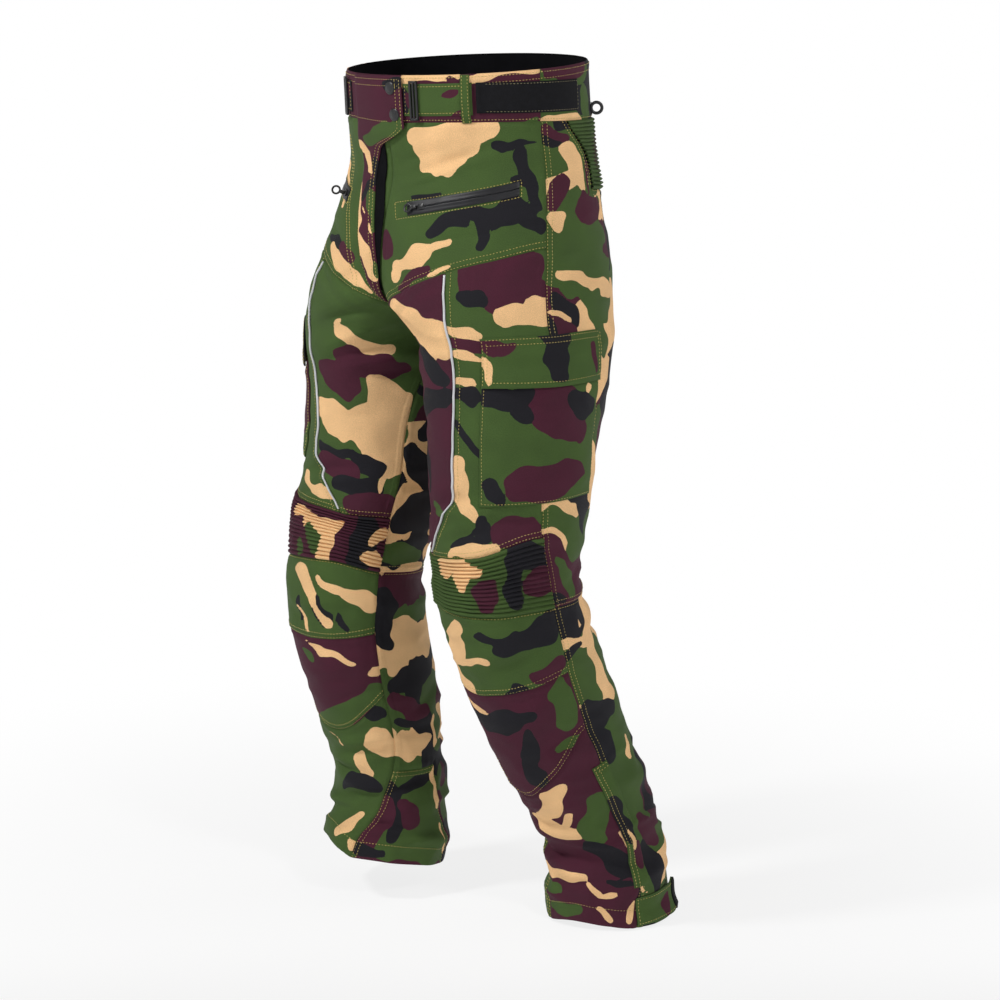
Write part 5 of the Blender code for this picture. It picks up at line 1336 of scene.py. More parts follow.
def gathered(name, cloth, count, rests_on):
    """A ribbed stretch panel."""
    share = np.linspace(0, 1, len(cloth.points))[:, None] + 0 * cloth.across
    cloth.raise_by(ribs(share, count, cloth.points, 5))
    cloth.measure()
    sewn_piece(name, cloth, CLOTH, "gathered", rests_on, [ELASTIC, LINING_AND_PAINTED_SHADE], "camo_elastic")


def knee_accordion(half):
    rows = (half.row["knee_top"], half.row["knee_foot"])
    columns = (COLUMN["front_inseam"], COLUMN["side"])
    _, u_list = lattice_stops(half, rows, columns, RIB_PITCH)
    v_list = np.linspace(*rows, KNEE_RIBS * KNEE_RIB_STEPS + 1)
    gathered(f"knee_accordion_{half.side}", lattice_cloth(half, v_list, u_list), KNEE_RIBS,
             [f"thigh_inner_{half.side}"])


def joined(left, right):
    """One grid over both halves, joined at the centre back."""
    pairs = ((left.points, right.points), (left.out, right.out))
    return Cloth(*(np.concatenate([a, b[:, -2::-1]], 1) for a, b in pairs))


def back_of_waist(halves):
    """The waistband's back, and the ribbed yoke below it."""
    row, column = halves[0].row, COLUMN
    rows, columns = (row["waist_top"], row["waistband"]), (column["side"], column["back_inseam"])
    v_list, u_list = lattice_stops(halves[0], rows, columns)
    cloth = joined(*(lattice_cloth(half, v_list, u_list) for half in halves))
    edges = (("row", 0), ("row", -1), ("column", 0), ("column", -1))
    cloth.raise_by(sum(seam_relief(cloth, *edge) for edge in edges))
    cloth.measure()
    sewn_piece("waistband_back", cloth, CLOTH, "stretched", ["waist_facing"], [CAMO, LINING_AND_PAINTED_SHADE])
    sew_edges("middle", cloth, top=(0.0035, 0.0105), foot=(0.003,))
    rows = (row["waistband"], row["back_yoke"])
    columns = (column["cargo_back"], column["back_inseam"])
    _, u_list = lattice_stops(halves[0], rows, columns, RIB_PITCH)
    v_list = np.linspace(*rows, YOKE_RIBS * YOKE_RIB_STEPS + 1)
    cloth = joined(*(lattice_cloth(half, v_list, u_list) for half in halves))
    gathered("back_yoke", cloth, YOKE_RIBS, ["waistband_back"])


FACING_ROWS = (0.06, 1.94)
FACING_DEPTH = CLOTH + 0.0008  # below the waistband's outer face


def waist_facing(halves):
    """The black facing inside the waistband, all round; its near-black colour is partly painted
    shade for the dark inside of the waist.
    """
    v_list = np.linspace(*FACING_ROWS, 16)
    u_list = fine_stops([0.014] * COLUMN["back_inseam"], 0, 0.0045)
    cloth = joined(*(lattice_cloth(half, v_list, u_list, -FACING_DEPTH) for half in halves))
    cloth = Cloth(cloth.points[:, :-1], cloth.out[:, :-1])
    sewn_piece("waist_facing", cloth, TAPE_WALL, "stretched", ["waistband_back"], [LINING_AND_PAINTED_SHADE],
               "black_lining", ring=True)


# ---------------------------------------------------------------- the fly
# A row, and the flap's start and edge there as distances from the centre front.
FLY = (
    (0.03, -0.062, 0.0285), (1.00, -0.062, 0.0285), (1.90, -0.062, 0.0285),
    (2.25, -0.062, 0.0280), (2.60, -0.062, 0.0150), (3.00, -0.062, -0.0060),
    (3.50, -0.061, -0.0150), (4.00, -0.060, -0.0200), (5.00, -0.057, -0.0220),
    (6.00, -0.050, -0.0150), (7.00, -0.040, -0.0075), (8.00, -0.026, -0.0020),
    (8.50, -0.016, -0.0020), (8.85, -0.008, -0.0010),
)
FLAP_WALL, FLAP_SHELL = 0.0016, 0.0013
FLAP_STEP = 0.12  # the share of its width in which the flap rises over the guard
FLAP_SINK_RUN = 0.006
# The same for the black guard behind the flap; its near-black colour is partly painted shade in the
# gap beside the flap's edge.
GUARD = (
    (2.25, -0.032, -0.0060), (3.00, -0.032, -0.0060), (5.00, -0.032, -0.0085),
    (6.00, -0.032, 0.0000), (7.00, -0.030, 0.0000), (8.50, -0.008, 0.0000),
)
GUARD_WALL, GUARD_LIFT = 0.0008, 0.0018
OVER_GUARD = GUARD_LIFT + GUARD_WALL + 0.0006
SNAP_RADIUS = 0.0066
SNAPS = {"snap_upper": (0.52, 0.0135), "snap_lower": (1.62, 0.0178)}
SNAP_PROFILE = ((0.0, 1.02), (0.0008, 1.06), (0.0014, 0.98), (0.0017, 0.80), (0.00165, 0.66),
                (0.0019, 0.60), (0.0023, 0.40), (0.0024, 0.0))  # heights, shares of the radius


def front_grid(halves, rows, xs, height):
    """Points and normals over the front at signed distances from the centre front."""
    fine = np.linspace(0, COLUMN["side"], 120)
    parts = []
    for half in halves:
        v = np.repeat(rows[:, None], len(fine), 1)
        reach = np.abs(half.skin(v, np.broadcast_to(fine, v.shape))[..., 0])
        u = np.array([np.interp(np.abs(x), r, fine) for x, r in zip(xs, reach)])
        parts.append(dressed(half, np.repeat(rows[:, None], xs.shape[1], 1), u, height))
    left = (xs >= 0)[..., None]
    return [np.where(left, a, b) for a, b in zip(*parts)]


def fly_flap(halves):
    rows = np.concatenate([np.linspace(0.03, 2.0, 20), np.linspace(2.1, 8.85, 84)])
    table_rows, starts, edges = (np.array(column) for column in zip(*FLY))
    edge, start = hermite(table_rows, edges, rows), hermite(table_rows, starts, rows)
    share = np.linspace(0, 1, 22)
    xs = start[:, None] + (edge - start)[:, None] * share
    climb = GUARD_LIFT + (OVER_GUARD - GUARD_LIFT) * share / FLAP_STEP
    lift = np.where(share < FLAP_STEP, climb, OVER_GUARD) + 0 * xs
    cloth = Cloth(*front_grid(halves, rows, xs, lift + FLAP_WALL))
    round_off(cloth, FLAP_WALL)
    sink = np.exp(-((cloth.across / FLAP_SINK_RUN) ** 2))
    cloth.raise_by(-sink * (GUARD_LIFT + FLAP_WALL + 0.0004))
    cloth.measure()
    sewn_piece("fly_flap", cloth, FLAP_SHELL, "hung", ["waistband_front_right"])
    sew_edges("middle", cloth, (0.003, 0.002), back=(0.0025, 0.0085))
    sew_edges("middle", cloth, (0.0, 0.003), top=(0.0035, 0.0105))
    foot = index_of(rows, 2.0)
    sew("middle", cloth.line("row", foot, -0.003, 0, 17))
    sew("middle", cloth.line("column", 0, 0.0045, foot + 2, None))


def fly_guard(halves):
    table_rows, starts, edges = (np.array(column) for column in zip(*GUARD))
    rows = np.linspace(table_rows[0], table_rows[-1], 50)
    start, edge = (np.interp(rows, table_rows, x)[:, None] for x in (starts, edges))
    xs = start + (edge - start) * np.linspace(0, 1, 9)
    cloth = Cloth(*front_grid(halves, rows, xs, GUARD_LIFT + GUARD_WALL))
    round_off(cloth, GUARD_WALL)
    sewn_piece("fly_guard", cloth, GUARD_WALL, "hung", ["front_yoke_left"], [LINING_AND_PAINTED_SHADE],
               "black_lining")


def snaps(halves):
    for name, (row, x) in SNAPS.items():
        points, out = front_grid(halves, np.array([row]), np.array([[x]]),
                                 OVER_GUARD + FLAP_WALL - 0.0002)
        axes = Vector(out[0, 0]).to_track_quat("Z", "Y").to_matrix().to_4x4()
        axes.translation = Vector(points[0, 0])
        hard_piece(turned(f"dressed_{name}", axes, SNAP_PROFILE, SNAP_RADIUS), name)


def round_off(cloth, wall, run=0.0016):
    """Lowers a sewn-on piece's outer face towards its edges."""
    height, width = cloth.down[-1:], cloth.across[:, -1:]
    away = np.minimum(np.minimum(cloth.down, height - cloth.down),
                      np.minimum(cloth.across, width - cloth.across))
    cloth.raise_by(-0.45 * wall * (1 - smooth(away / run)))


def turned(name, axes, profile, radius, steps=40):
    """A round piece: a profile of heights and shares of the radius, turned about Z."""
    bm = bmesh.new()
    rings = []
    for height, share in profile:
        reach = radius * share
        rings.append([
            bm.verts.new(axes @ Vector((reach * math.cos(t), reach * math.sin(t), height)))
            for t in np.linspace(0, 2 * math.pi, steps, endpoint=False)
        ])
    for low, high in zip(rings, rings[1:]):
        for k in range(steps):
            j = (k + 1) % steps
            bm.faces.new((low[k], low[j], high[j], high[k]))
    bm.faces.new(rings[0][::-1])
    bmesh.ops.remove_doubles(bm, verts=bm.verts, dist=1e-6)
    return finish_bmesh(name, bm, PLASTIC, 55)


def finish_bmesh(name, bm, look, sharp=40):
    mesh = bpy.data.meshes.new(name)
    bmesh.ops.recalc_face_normals(bm, faces=bm.faces)
    bm.to_mesh(mesh)
    bm.free()
    mesh.materials.append(look)
    return shown(name, mesh, sharp)


# ---------------------------------------------------------------- what is sewn on
CORD_RADIUS, CORD_RISE, CORD_WALL = 0.00135, 0.55, 0.0004


def piping(half):
    """The reflective cord down the thigh, open towards the cloth that it lies on."""
    rows = np.linspace(half.row["front_yoke"] + 0.2, half.row["knee_top"] - 0.15, 150)
    points, out = dressed(half, rows, COLUMN["piping"] + 0 * rows, LIFT)
    ahead = dressed(half, rows, COLUMN["piping"] + 0.1 + 0 * rows, LIFT)[0]
    across = unit(ahead - points)
    across = unit(across - out * (across * out).sum(-1, keepdims=True))
    turn = np.linspace(-0.25 * math.pi, 1.25 * math.pi, 11)
    side, top = np.cos(turn)[None, :, None], np.sin(turn)[None, :, None]
    grid = (points[:, None] + across[:, None] * (CORD_RADIUS * side)
            + out[:, None] * (CORD_RADIUS * (top + CORD_RISE)))
    cloth = Cloth(grid, across[:, None] * side + out[:, None] * top)
    piece = cloth_piece(f"dressed_piping_{half.side}", cloth, CORD_WALL, [PIPING])
    hard_piece(piece, f"piping_{half.side}")


FLAP_OVERHANG = 0.008  # of the pocket's flap, over the bag's mouth
BAG_WALL, BAG_SWELL, BAG_EDGE = 0.0020, 0.0048, 0.003
BAG_MOUTH = 0.16  # the share of its height in which the bag swells up
FLAP_SWELL = 0.0035
OVER_BAG = LIFT + BAG_WALL + LIFT
CARGO_COLUMNS = fine_stops([0.019] * (COLUMN["cargo_back"] - COLUMN["cargo_front"]),
                           COLUMN["cargo_front"])
CARGO_SHARES = (CARGO_COLUMNS - CARGO_COLUMNS[0]) / (CARGO_COLUMNS[-1] - CARGO_COLUMNS[0])


def cargo_bag(half):
    side, row = half.side, half.row
    edges = half.drop(np.full(CARGO_COLUMNS.shape, row["flap_foot"]), CARGO_COLUMNS)
    mouth = np.array([half.row_at(edge - FLAP_OVERHANG, u)
                      for edge, u in zip(edges, CARGO_COLUMNS)])
    down = np.linspace(0, 1, 44)[:, None]
    v = mouth * (1 - down) + row["bag_foot"] * down
    along = np.sin(math.pi * CARGO_SHARES) ** 0.55
    upright = np.sin(math.pi * np.clip(BAG_MOUTH + (1 - BAG_MOUTH) * down, 0, 1)) ** 0.6
    swell = along * upright * BAG_SWELL * smooth(down / BAG_MOUTH)
    cloth = Cloth(*dressed(half, v, CARGO_COLUMNS, LIFT + BAG_WALL + swell))
    sag = 0.0013 * noise(cloth.points, 0.032, 41) + 0.0006 * noise(cloth.points, 0.014, 42)
    cloth.raise_by(sag * np.clip(swell / BAG_SWELL, 0, 1))
    round_off(cloth, BAG_WALL, BAG_EDGE)
    cloth.measure()
    sewn_piece(f"cargo_bag_{side}", cloth, CLOTH, "hung",
               [f"thigh_outer_{side}", f"seat_and_back_thigh_{side}"])
    sew_edges(side, cloth, (0.002, 0.002), front=(0.003,), back=(0.003,), foot=(0.003,))
    edge_wall(f"pocket_gusset_{side}", cloth, dressed(half, v, CARGO_COLUMNS, LIFT)[0])


def cargo_flap(half):
    side, row = half.side, half.row
    down = np.linspace(0, 1.02, 22)[:, None]
    v = row["flap_top"] + (row["flap_foot"] - row["flap_top"]) * down
    lift = np.interp(down, (0, 0.4, 0.78, 1.02), (LIFT, 0.6 * OVER_BAG, OVER_BAG, OVER_BAG + 0.001))
    lift = lift + FLAP_SWELL * smooth((down - 0.45) / 0.5) * np.sin(math.pi * CARGO_SHARES) ** 0.6
    cloth = Cloth(*dressed(half, v, CARGO_COLUMNS, lift + STRAP_WALL))
    cloth.raise_by(0.0009 * noise(cloth.points, 0.030, 43) * smooth(down / 0.5))
    round_off(cloth, STRAP_WALL)
    cloth.measure()
    sewn_piece(f"cargo_flap_{side}", cloth, STRAP_WALL, "hung",
               [f"thigh_outer_{side}", f"cargo_bag_{side}"])
    sew_edges(side, cloth, (0.005, 0.005), front=(0.006,), back=(0.006,), foot=(0.006,),
              top=(0.0025, 0.0085))
    sew_edges(side, cloth, (0.002, 0.002), front=(0.0015,), back=(0.0015,))


def edge_wall(name, cloth, bottom):
    """The sides that close a pocket between its face and the leg."""
    rows, columns = cloth.points.shape[:2]
    rim = [(i, 0) for i in range(rows)]
    rim += [(rows - 1, j) for j in range(1, columns)]
    rim += [(i, columns - 1) for i in range(rows - 2, -1, -1)]
    rim = tuple(zip(*rim))
    top, low = cloth.points[rim] - cloth.out[rim] * CLOTH, bottom[rim]
    strip = np.stack([top, (top + low) / 2, low], 0)
    run = lengths_along(top)
    uv = np.stack([np.broadcast_to(run, (3, len(run))),
                   np.array([0, 0.001, 0.002])[:, None] + 0 * run], -1).reshape(-1, 2)
    ids = np.arange(strip[..., 0].size).reshape(strip.shape[:2])
    faces = np.stack([ids[:-1, :-1], ids[1:, :-1], ids[1:, 1:], ids[:-1, 1:]], -1).reshape(-1, 4)
    colour = np.tile([-0.05, 0.0, 0.03, 0.01], (len(uv), 1))  # maroon
    piece = build_mesh(name, strip.reshape(-1, 3), faces, [CAMO], uv=uv, colour=colour)
    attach(piece, BODY)


def laid(half, top, foot, angles, counts, lift, wall):
    """A strip on the cloth: drops of its top and foot (one each, or front and back), angles."""
    (top_front, top_back), (foot_front, foot_back) = (np.broadcast_to(x, 2) for x in (top, foot))
    down = np.linspace(0, 1, counts[0])[:, None]
    along = np.linspace(0, 1, counts[1])[None]
    upper = top_front + (top_back - top_front) * along
    lower = foot_front + (foot_back - foot_front) * along
    drop = upper * (1 - down) + lower * down
    angle = angles[0] + (angles[1] - angles[0]) * along
    return Cloth(*dressed_at(half, drop, angle, np.asarray(lift) + wall))


def box_path(half, corners, height, steps=24):
    """A path through corners (drop, angle) on the cloth, for stitching."""
    t = np.linspace(0, 1, steps)[:, None]
    legs = [np.array(a) + (np.array(b) - np.array(a)) * t for a, b in zip(corners, corners[1:])]
    drops, angles = np.concatenate(legs).T
    return dressed_at(half, drops, angles, height)


ADJUSTER_START = {"left": 101.0, "right": 119.0}  # degrees; the runs below start from it
STRAP_RUN, LOOP_RUN, HOOK_RUN = (0.0, 32.5), (27.6, 31.6), (34.5, 91.0)
BUCKLE_RUN = 6.0
STRAP_TOP, STRAP_FOOT = 0.009, 0.043
HOOK_TOP, HOOK_FOOT = (0.009, 0.015), (0.041, 0.048)
HOOK_WALL = 0.0022
HOOK_ROLL, HOOK_ROLL_RUN = 0.0026, 0.0055  # the tape's rolled front end
LOOP_TOP, LOOP_FOOT = 0.0005, 0.0515
OVER_STRAP = LIFT + STRAP_WALL + LIFT
BUCKLE_DROP, BUCKLE_SIZE, BUCKLE_BAR = 0.0265, (0.011, 0.043, 0.0026), 0.0026


def adjuster_angles(half, run):
    return [ADJUSTER_START[half.side] + degrees for degrees in run]


def adjuster_strap(half):
    side = half.side
    cloth = laid(half, STRAP_TOP, STRAP_FOOT, adjuster_angles(half, STRAP_RUN), (14, 44), LIFT,
                 STRAP_WALL)
    round_off(cloth, STRAP_WALL)
    sewn_piece(f"adjuster_strap_{side}", cloth, STRAP_WALL, "laid", [f"waistband_front_{side}"])
    sew_edges(side, cloth, (0.001, 0.001), top=(0.003,), foot=(0.003,), front=(0.003,))


def hook_tape(half):
    side = half.side
    cloth = laid(half, HOOK_TOP, HOOK_FOOT, adjuster_angles(half, HOOK_RUN), (14, 60), LIFT,
                 HOOK_WALL)
    round_off(cloth, HOOK_WALL)
    cloth.raise_by(HOOK_ROLL * np.exp(-((cloth.across / HOOK_ROLL_RUN) ** 2)))
    cloth.measure()
    sewn_piece(f"hook_tape_{side}", cloth, HOOK_WALL, "laid",
               [f"waistband_front_{side}", "waistband_back"], [HOOKS], "hook_tape")
    sew_edges("tape", cloth, (0.010, 0.001), top=(0.002,), foot=(0.002,))
    sew_edges("tape", cloth, (0.001, 0.001), back=(0.002,))


def belt_loop(half):
    side = half.side
    lift = np.interp(np.linspace(0, 1, 30), (0, 0.06, 0.13, 0.5, 0.87, 0.94, 1),
                     (LIFT, LIFT, OVER_STRAP, OVER_STRAP + 0.0008, OVER_STRAP, LIFT, LIFT))
    cloth = laid(half, LOOP_TOP, LOOP_FOOT, adjuster_angles(half, LOOP_RUN), (30, 8),
                 lift[:, None], STRAP_WALL)
    round_off(cloth, STRAP_WALL, 0.001)
    sewn_piece(f"belt_loop_{side}", cloth, STRAP_WALL, "laid", [f"waistband_front_{side}"])
    sew_edges(side, cloth, front=(0.0018,), back=(0.0018,))


def surface_axes(half, drop, angle, height=0.0, heading=0.0):
    """Axes at a place on the cloth: X towards the back of the body, Y up, Z out."""
    points, out = dressed_at(half, np.array([drop]), np.array([angle]), height)
    out = unit(out[0])
    along = half.skin_at(drop, angle + 1.0) - half.skin_at(drop, angle - 1.0)
    along = unit(along - out * float(along @ out))
    up = np.cross(out, along)
    if up[2] < 0:
        up = -up
    turn = math.radians(heading)
    x_axis = along * math.cos(turn) + up * math.sin(turn)
    y_axis = np.cross(out, x_axis)
    axes = Matrix([(*row, 0.0) for row in np.stack([x_axis, y_axis, out], 1)] + [(0, 0, 0, 1)])
    axes.translation = Vector(points[0])
    return axes


def rounded_block(bm, axes, centre, size, edge):
    """A block with rounded edges, its underside at the centre's height."""
    made = bmesh.ops.create_cube(bm, size=1.0)["verts"]
    bmesh.ops.scale(bm, vec=size, verts=made)
    bmesh.ops.translate(bm, vec=(centre[0], centre[1], centre[2] + size[2] / 2), verts=made)
    edges = {e for v in made for e in v.link_edges}
    rounded = bmesh.ops.bevel(bm, geom=list(edges), offset=edge, segments=3,
                              affect="EDGES", profile=0.5)
    bmesh.ops.transform(bm, matrix=axes, verts=rounded["verts"])


def ladder_buckle(half):
    """The buckle that holds the strap: a frame, its cross bars and a gripping edge."""
    axes = surface_axes(half, BUCKLE_DROP, ADJUSTER_START[half.side] + BUCKLE_RUN,
                        OVER_STRAP + 0.0002)
    width, length, height = BUCKLE_SIZE
    bm = bmesh.new()
    for x in (-width / 2 + BUCKLE_BAR / 2, width / 2 - BUCKLE_BAR / 2):
        rounded_block(bm, axes, (x, 0, 0), (BUCKLE_BAR, length, height), 0.0008)
    rounded_block(bm, axes, (0, 0, 0.0006), (0.0022, length - 0.002, height - 0.0006), 0.0007)
    for y in (-length / 2 + BUCKLE_BAR / 2, length / 2 - BUCKLE_BAR / 2):
        rounded_block(bm, axes, (0, y, 0), (width, BUCKLE_BAR, height), 0.0008)
    piece = finish_bmesh(f"dressed_ladder_buckle_{half.side}", bm, PLASTIC)
    hard_piece(piece, f"ladder_buckle_{half.side}")


def eyelet(name, axes, length, ring, hole, neck, wall):
    """A moulded plastic pull: a round ring, and a neck that starts at the origin."""
    centre = length - ring
    middle, radius = (ring + hole) / 2, (ring - hole) / 2
    bm = bmesh.new()
    turns, around = 40, 14
    grid = []
    for t in np.linspace(0, 2 * math.pi, turns, endpoint=False):
        loop = []
        for s in np.linspace(0, 2 * math.pi, around, endpoint=False):
            flat = np.sign(math.sin(s)) * abs(math.sin(s)) ** 0.7
            r = middle + radius * math.cos(s)
            place = (centre + r * math.cos(t), r * math.sin(t), wall / 2 * flat)
            loop.append(bm.verts.new(place))
        grid.append(loop)
    for a, b in zip(grid, grid[1:] + grid[:1]):
        for k in range(around):
            j = (k + 1) % around
            bm.faces.new((a[k], b[k], b[j], a[j]))
    bmesh.ops.transform(bm, matrix=axes, verts=list(bm.verts))
    reach = centre - hole - (ring - hole) * 0.5
    rounded_block(bm, axes, (reach / 2, 0, -wall / 2), (reach, neck, wall), wall * 0.3)
    rounded_block(bm, axes, (reach * 0.45, 0, -wall * 0.62),
                  (reach * 0.45, neck * 0.55, wall * 1.24), wall * 0.2)
    return finish_bmesh(name, bm, PLASTIC)


CLIP_AT, CLIP_LIFT = (0.0510, 214.0), 0.0017
CLIP_SIZES = {"length": 0.0130, "ring": 0.0078, "hole": 0.0042, "neck": 0.0136, "wall": 0.0026}


def back_clip(half):
    """The plastic eye that stands out at each end of the elastic yoke."""
    upright = surface_axes(half, *CLIP_AT, CLIP_LIFT) @ Matrix.Rotation(math.radians(-90), 4, "Y")
    piece = eyelet(f"dressed_back_clip_{half.side}", upright, **CLIP_SIZES)
    hard_piece(piece, f"back_clip_{half.side}")


ZIP_START = {"left": (0.1480, 97.0), "right": (0.1400, 117.5)}
ZIP_END = {"left": (0.1250, 151.0), "right": (0.1220, 160.5)}
ZIP_HALF_HEIGHT = 0.0075
LIP, LIP_AT, LIP_WIDTH = 0.0004, 0.22, 0.20  # height; place and width in half heights
SLIT, SLIT_WIDTH = 0.0007, 0.055
ZIP_STITCH_GAP = 0.0016  # from the tape to the stitches round it
ZIP_STITCH_LEAD = {"left": 7.0, "right": 1.0}  # degrees that the stitches run on to the front
STITCH_LIFT = 0.0001
SLIDER_SHARE = {"left": 0.14, "right": 0.08}
SLIDER_SIZE = (0.0080, 0.0070, 0.0016)
HIP_RADIUS = 0.14
PULL_SIZES = {"length": 0.0165, "ring": 0.0055, "hole": 0.0032, "neck": 0.0040, "wall": 0.0016}
PULL_REST = {"left": 0.0, "right": 90.0}


def zip_tape(half):
    """The pocket's tape with its two lips, and the row of stitches round it."""
    side = half.side
    start, end = ZIP_START[side], ZIP_END[side]
    drops = np.array([start[0], end[0]])
    cloth = laid(half, drops - ZIP_HALF_HEIGHT, drops + ZIP_HALF_HEIGHT, (start[1], end[1]),
                 (27, 80), LIFT, TAPE_WALL)
    down = np.linspace(-1, 1, 27)[:, None] + 0 * cloth.across
    lips = LIP * np.exp(-(((np.abs(down) - LIP_AT) / LIP_WIDTH) ** 2))
    cloth.raise_by(lips - SLIT * np.exp(-((down / SLIT_WIDTH) ** 2)))
    round_off(cloth, TAPE_WALL)
    cloth.measure()
    sewn_piece(f"zip_tape_{side}", cloth, TAPE_WALL, "laid", [f"front_yoke_{side}"], [TAPE],
               "zip_tape")
    front = start[1] - (math.degrees(ZIP_STITCH_GAP / HIP_RADIUS) + ZIP_STITCH_LEAD[side])
    slope = (end[0] - start[0]) / (end[1] - start[1])
    front_drop, back = start[0] - (start[1] - front) * slope, end[1] + 1.0
    ways = ((front_drop, front, -1), (end[0], back, -1), (end[0], back, 1),
            (front_drop, front, 1), (front_drop, front, -1))
    corners = [(drop + way * ZIP_HALF_HEIGHT + way * ZIP_STITCH_GAP, angle)
               for drop, angle, way in ways]
    sew(side, box_path(half, corners, STITCH_LIFT, 30))


def zip_slider(half):
    """The slider on its tape, and the pull at its hinge."""
    side = half.side
    start, end, share = ZIP_START[side], ZIP_END[side], SLIDER_SHARE[side]
    drop, angle = (a + (b - a) * share for a, b in zip(start, end))
    rise, run = start[0] - end[0], HIP_RADIUS * math.radians(end[1] - start[1])
    axes = surface_axes(half, drop, angle, heading=math.degrees(math.atan2(rise, run)))
    low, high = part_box(f"zip_slider_{side}")
    length, width, height = SLIDER_SIZE
    axes.translation = (low + high) / 2 - axes.col[2].to_3d() * height / 2
    bm = bmesh.new()
    rounded_block(bm, axes, (0, 0, -0.0004), (length, width, height), 0.0006)
    rounded_block(bm, axes, (0.0006, 0, 0.0008), (0.0052, 0.0036, 0.0011), 0.0005)
    hard_piece(finish_bmesh(f"dressed_zip_slider_{side}", bm, PLASTIC), f"zip_slider_{side}")
    hinge = next(joint for joint in frame["joints"] if joint["child"] == f"zip_pull_{side}_body")
    axes.translation = Vector(hinge["pos_m"])
    forward = axes @ Matrix.Rotation(math.pi, 4, "Z")
    rest = forward @ Matrix.Rotation(-math.radians(PULL_REST[side]), 4, "Y")
    piece = eyelet(f"dressed_zip_pull_{side}", rest, **PULL_SIZES)
    hard_piece(piece, f"zip_pull_{side}", f"zip_pull_{side}_body")


VENT_TOP, VENT_FOOT = 0.788, 0.962
VENT_ANGLES = (160.5, 175.5)
TAB_TOP, TAB_FOOT = 0.036, 0.002  # above the hem
TAB_ANGLES = (162.0, 224.0)
TAB_RISE = 0.0040
TAB_END_TOP, TAB_END_FOOT = 0.035, 0.003
TAB_END_ANGLES = (214.0, 225.5)
TRIM_LIFT = 0.0008
TAB_END_LIFT = TRIM_LIFT + STRAP_WALL + LIFT + 0.0036


def hem_drop(half):
    return float(half.drop(np.float64(half.row["hem"]), np.float64(COLUMN["side"])))


def vent_flap(half):
    side = half.side
    foot = min(VENT_FOOT, hem_drop(half) - TAB_TOP - 0.006)
    cloth = laid(half, VENT_TOP, foot, VENT_ANGLES, (60, 9), TRIM_LIFT, STRAP_WALL)
    round_off(cloth, STRAP_WALL)
    cloth.raise_by(0.0012 * noise(cloth.points, 0.025, 51) * smooth(cloth.across / 0.01))
    cloth.measure()
    sewn_piece(f"vent_flap_{side}", cloth, STRAP_WALL, "hung", [f"calf_{side}"])
    sew_edges(side, cloth, front=(0.0025, 0.0075), top=(0.0025, 0.0070))


def hem_tab(half):
    """The tab round the hem, and its end of hook tape."""
    side, hem = half.side, hem_drop(half)
    cloth = laid(half, hem - TAB_TOP, hem - TAB_FOOT, TAB_ANGLES, (13, 30), TRIM_LIFT, STRAP_WALL)
    round_off(cloth, STRAP_WALL)
    cloth.raise_by(TAB_RISE * smooth((cloth.across - 0.035) / 0.03))
    cloth.measure()
    sewn_piece(f"hem_tab_{side}", cloth, STRAP_WALL, "laid", [f"calf_{side}"])
    sew_edges(side, cloth, (0.001, 0.001), top=(0.003,), foot=(0.003,), front=(0.003,))
    cloth = laid(half, hem - TAB_END_TOP, hem - TAB_END_FOOT, TAB_END_ANGLES, (12, 8),
                 TAB_END_LIFT, HOOK_WALL)
    round_off(cloth, HOOK_WALL)
    cloth.measure()
    sewn_piece(f"hem_tab_end_{side}", cloth, HOOK_WALL, "laid", [f"hem_tab_{side}"], [HOOKS],
               "hook_tape")


# ---------------------------------------------------------------- camera, floor and light
WORLD_LIGHT = 0.15  # overhead
SENSOR = 36.0  # millimetres
BEHIND = (-0.731, 0.682, 0.0)  # away from the photo's camera, along the floor


def look_at(item, place, target):
    item.location = place
    item.rotation_euler = (Vector(target) - Vector(place)).to_track_quat("-Z", "Y").to_euler()


def light(name, place, target, size, watts):
    lamp = bpy.data.lights.new(name, "AREA")
    lamp.size, lamp.energy = size, watts
    new = bpy.data.objects.new(name, lamp)
    bpy.context.scene.collection.objects.link(new)
    look_at(new, place, target)


def studio():
    scene = bpy.context.scene
    camera = bpy.data.objects.new("camera", bpy.data.cameras.new("camera"))
    scene.collection.objects.link(camera)
    camera.data.sensor_width = SENSOR
    camera.data.lens = LENS_PX / (2 * PHOTO_MIDDLE) * SENSOR
    look_at(camera, TARGET + Vector(towards_camera()) * DISTANCE, TARGET)
    scene.camera = camera
    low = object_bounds()[0][2] - 0.002
    bm = bmesh.new()
    bmesh.ops.create_circle(bm, cap_ends=True, radius=60.0, segments=96)
    floor = finish_bmesh("floor", bm, floor_material())
    floor.location.z = low
    floor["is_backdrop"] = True
    scene.world = white_world()
    light("key", (-0.7, -2.5, 2.3), (0, 0, -0.45), 0.40, 80)
    light("fill", (3.0, -0.7, 1.9), (0, 0, -0.5), 0.5, 40)
    light("rim", (1.2, 3.0, 1.8), (0, 0, -0.4), 1.8, 12)
    scene.view_settings.view_transform = "Standard"
    scene.view_settings.look = "None"
    scene.view_settings.exposure = 0.0


def white_world():
    """White beside and below the trousers, where the camera looks, and dimmer overhead."""
    world = bpy.data.worlds.new("studio")
    world.use_nodes = True
    tree = world.node_tree
    place = tree.nodes.new("ShaderNodeTexCoord").outputs["Generated"]
    apart = tree.nodes.new("ShaderNodeSeparateXYZ")
    strength = tree.nodes.new("ShaderNodeMapRange")
    strength.interpolation_type = "SMOOTHSTEP"
    for socket, value in (("From Min", 0.08), ("From Max", 0.30), ("To Min", 1.0),
                          ("To Max", WORLD_LIGHT)):
        strength.inputs[socket].default_value = value
    tree.links.new(place, apart.inputs[0])
    tree.links.new(apart.outputs["Z"], strength.inputs["Value"])
    background = tree.nodes["Background"].inputs
    tree.links.new(strength.outputs[0], background["Strength"])
    background["Color"].default_value = rgb((1, 1, 1))
    return world


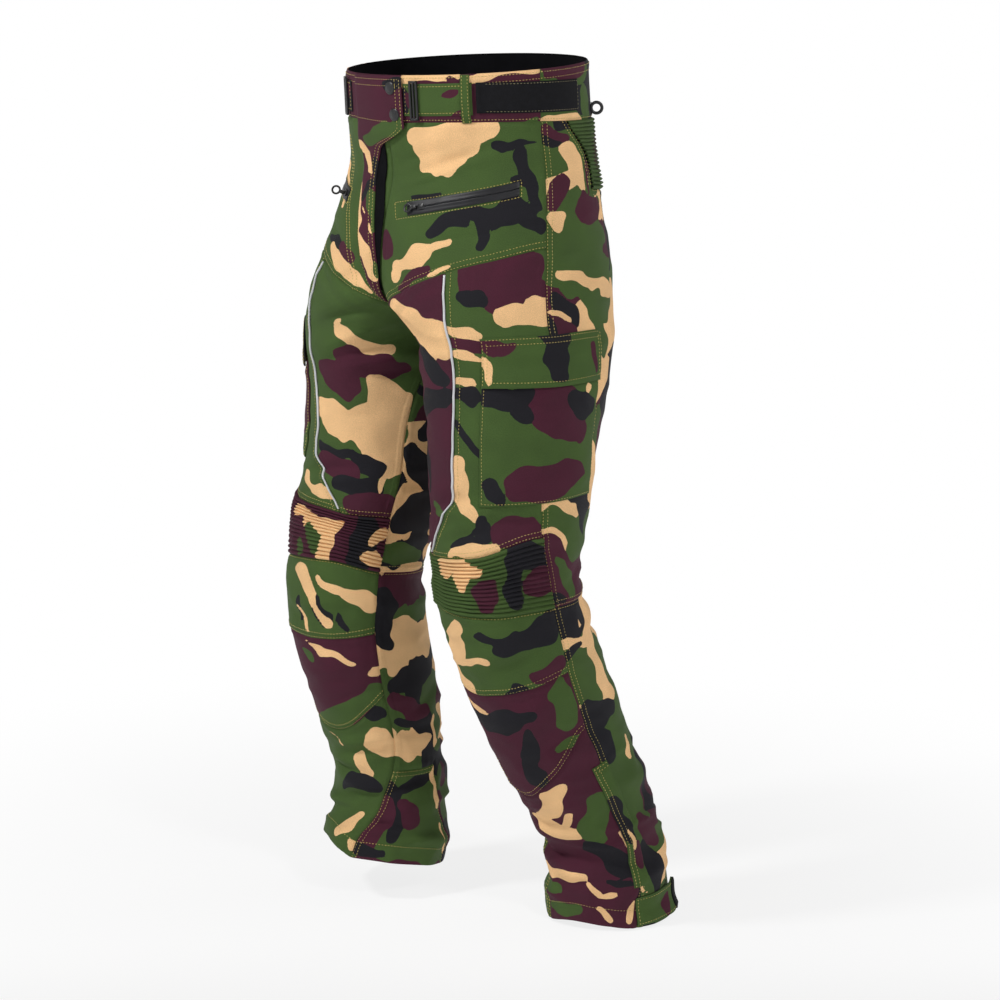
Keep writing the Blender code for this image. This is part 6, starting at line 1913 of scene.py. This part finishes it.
def floor_material():
    """Pale and matt, and fading into the white backdrop away from the trousers."""
    g = Graph("floor_look")
    place = g.add("TexCoord").outputs["Object"]
    g.link(g.grey(g.spread(g.noise(place, 3.0, 2.0), (0.0, 1.0), (0.90, 0.94))), "Base Color")
    g.set(Roughness=0.9, Specular_IOR_Level=0.1)
    reach = g.add("VectorMath", {"operation": "LENGTH"}, _0=place).outputs["Value"]
    # The sweep is white behind the trousers and grey in front, so that folds keep their shade.
    back = g.add("VectorMath", {"operation": "DOT_PRODUCT"}, _0=place, _1=BEHIND)
    far = g.math("MULTIPLY", g.spread(reach, (0.25, 1.2), (0.82, 1.0), "SMOOTHSTEP"),
                 g.spread(back.outputs["Value"], (-0.80, -0.12), (0.12, 1.0), "SMOOTHSTEP"))
    far = g.math("MAXIMUM", far, g.spread(reach, (1.3, 2.8), (0.0, 1.0), "SMOOTHSTEP"))
    white = g.add("Emission", Color=rgb((1, 1, 1)), Strength=1.0).outputs[0]
    mixed = g.add("MixShader", _0=far, _1=g.shader.outputs[0], _2=white).outputs[0]
    g.tree.links.new(mixed, g.tree.nodes["Material Output"].inputs["Surface"])
    return g.material


# ---------------------------------------------------------------- build
J_STITCH = ((0.070, 127), (0.122, 121), (0.166, 106), (0.200, 93), (0.246, 74))
J_STITCH_ROWS = (0.0, 2.6)  # degrees from the table's places

HALVES = (Half("left"), Half("right"))
for half_ in HALVES:
    for build in (leg_panels, knee_accordion, piping, cargo_bag, cargo_flap, adjuster_strap,
                  hook_tape, belt_loop, ladder_buckle, back_clip, zip_tape, zip_slider,
                  vent_flap, hem_tab):
        build(half_)
for build in (back_of_waist, waist_facing, fly_flap, fly_guard, snaps):
    build(HALVES)
for shift in J_STITCH_ROWS:
    corners_ = [(drop, angle + shift) for drop, angle in J_STITCH]
    sew("right", box_path(HALVES[1], corners_, STITCH_LIFT))
for side_ in ("left", "right", "middle"):
    stitch_mesh(f"topstitch_{side_}", SEWN[side_], THREAD_LOOK)
stitch_mesh("tape_stitch", SEWN["tape"], TAPE_THREAD)
studio()
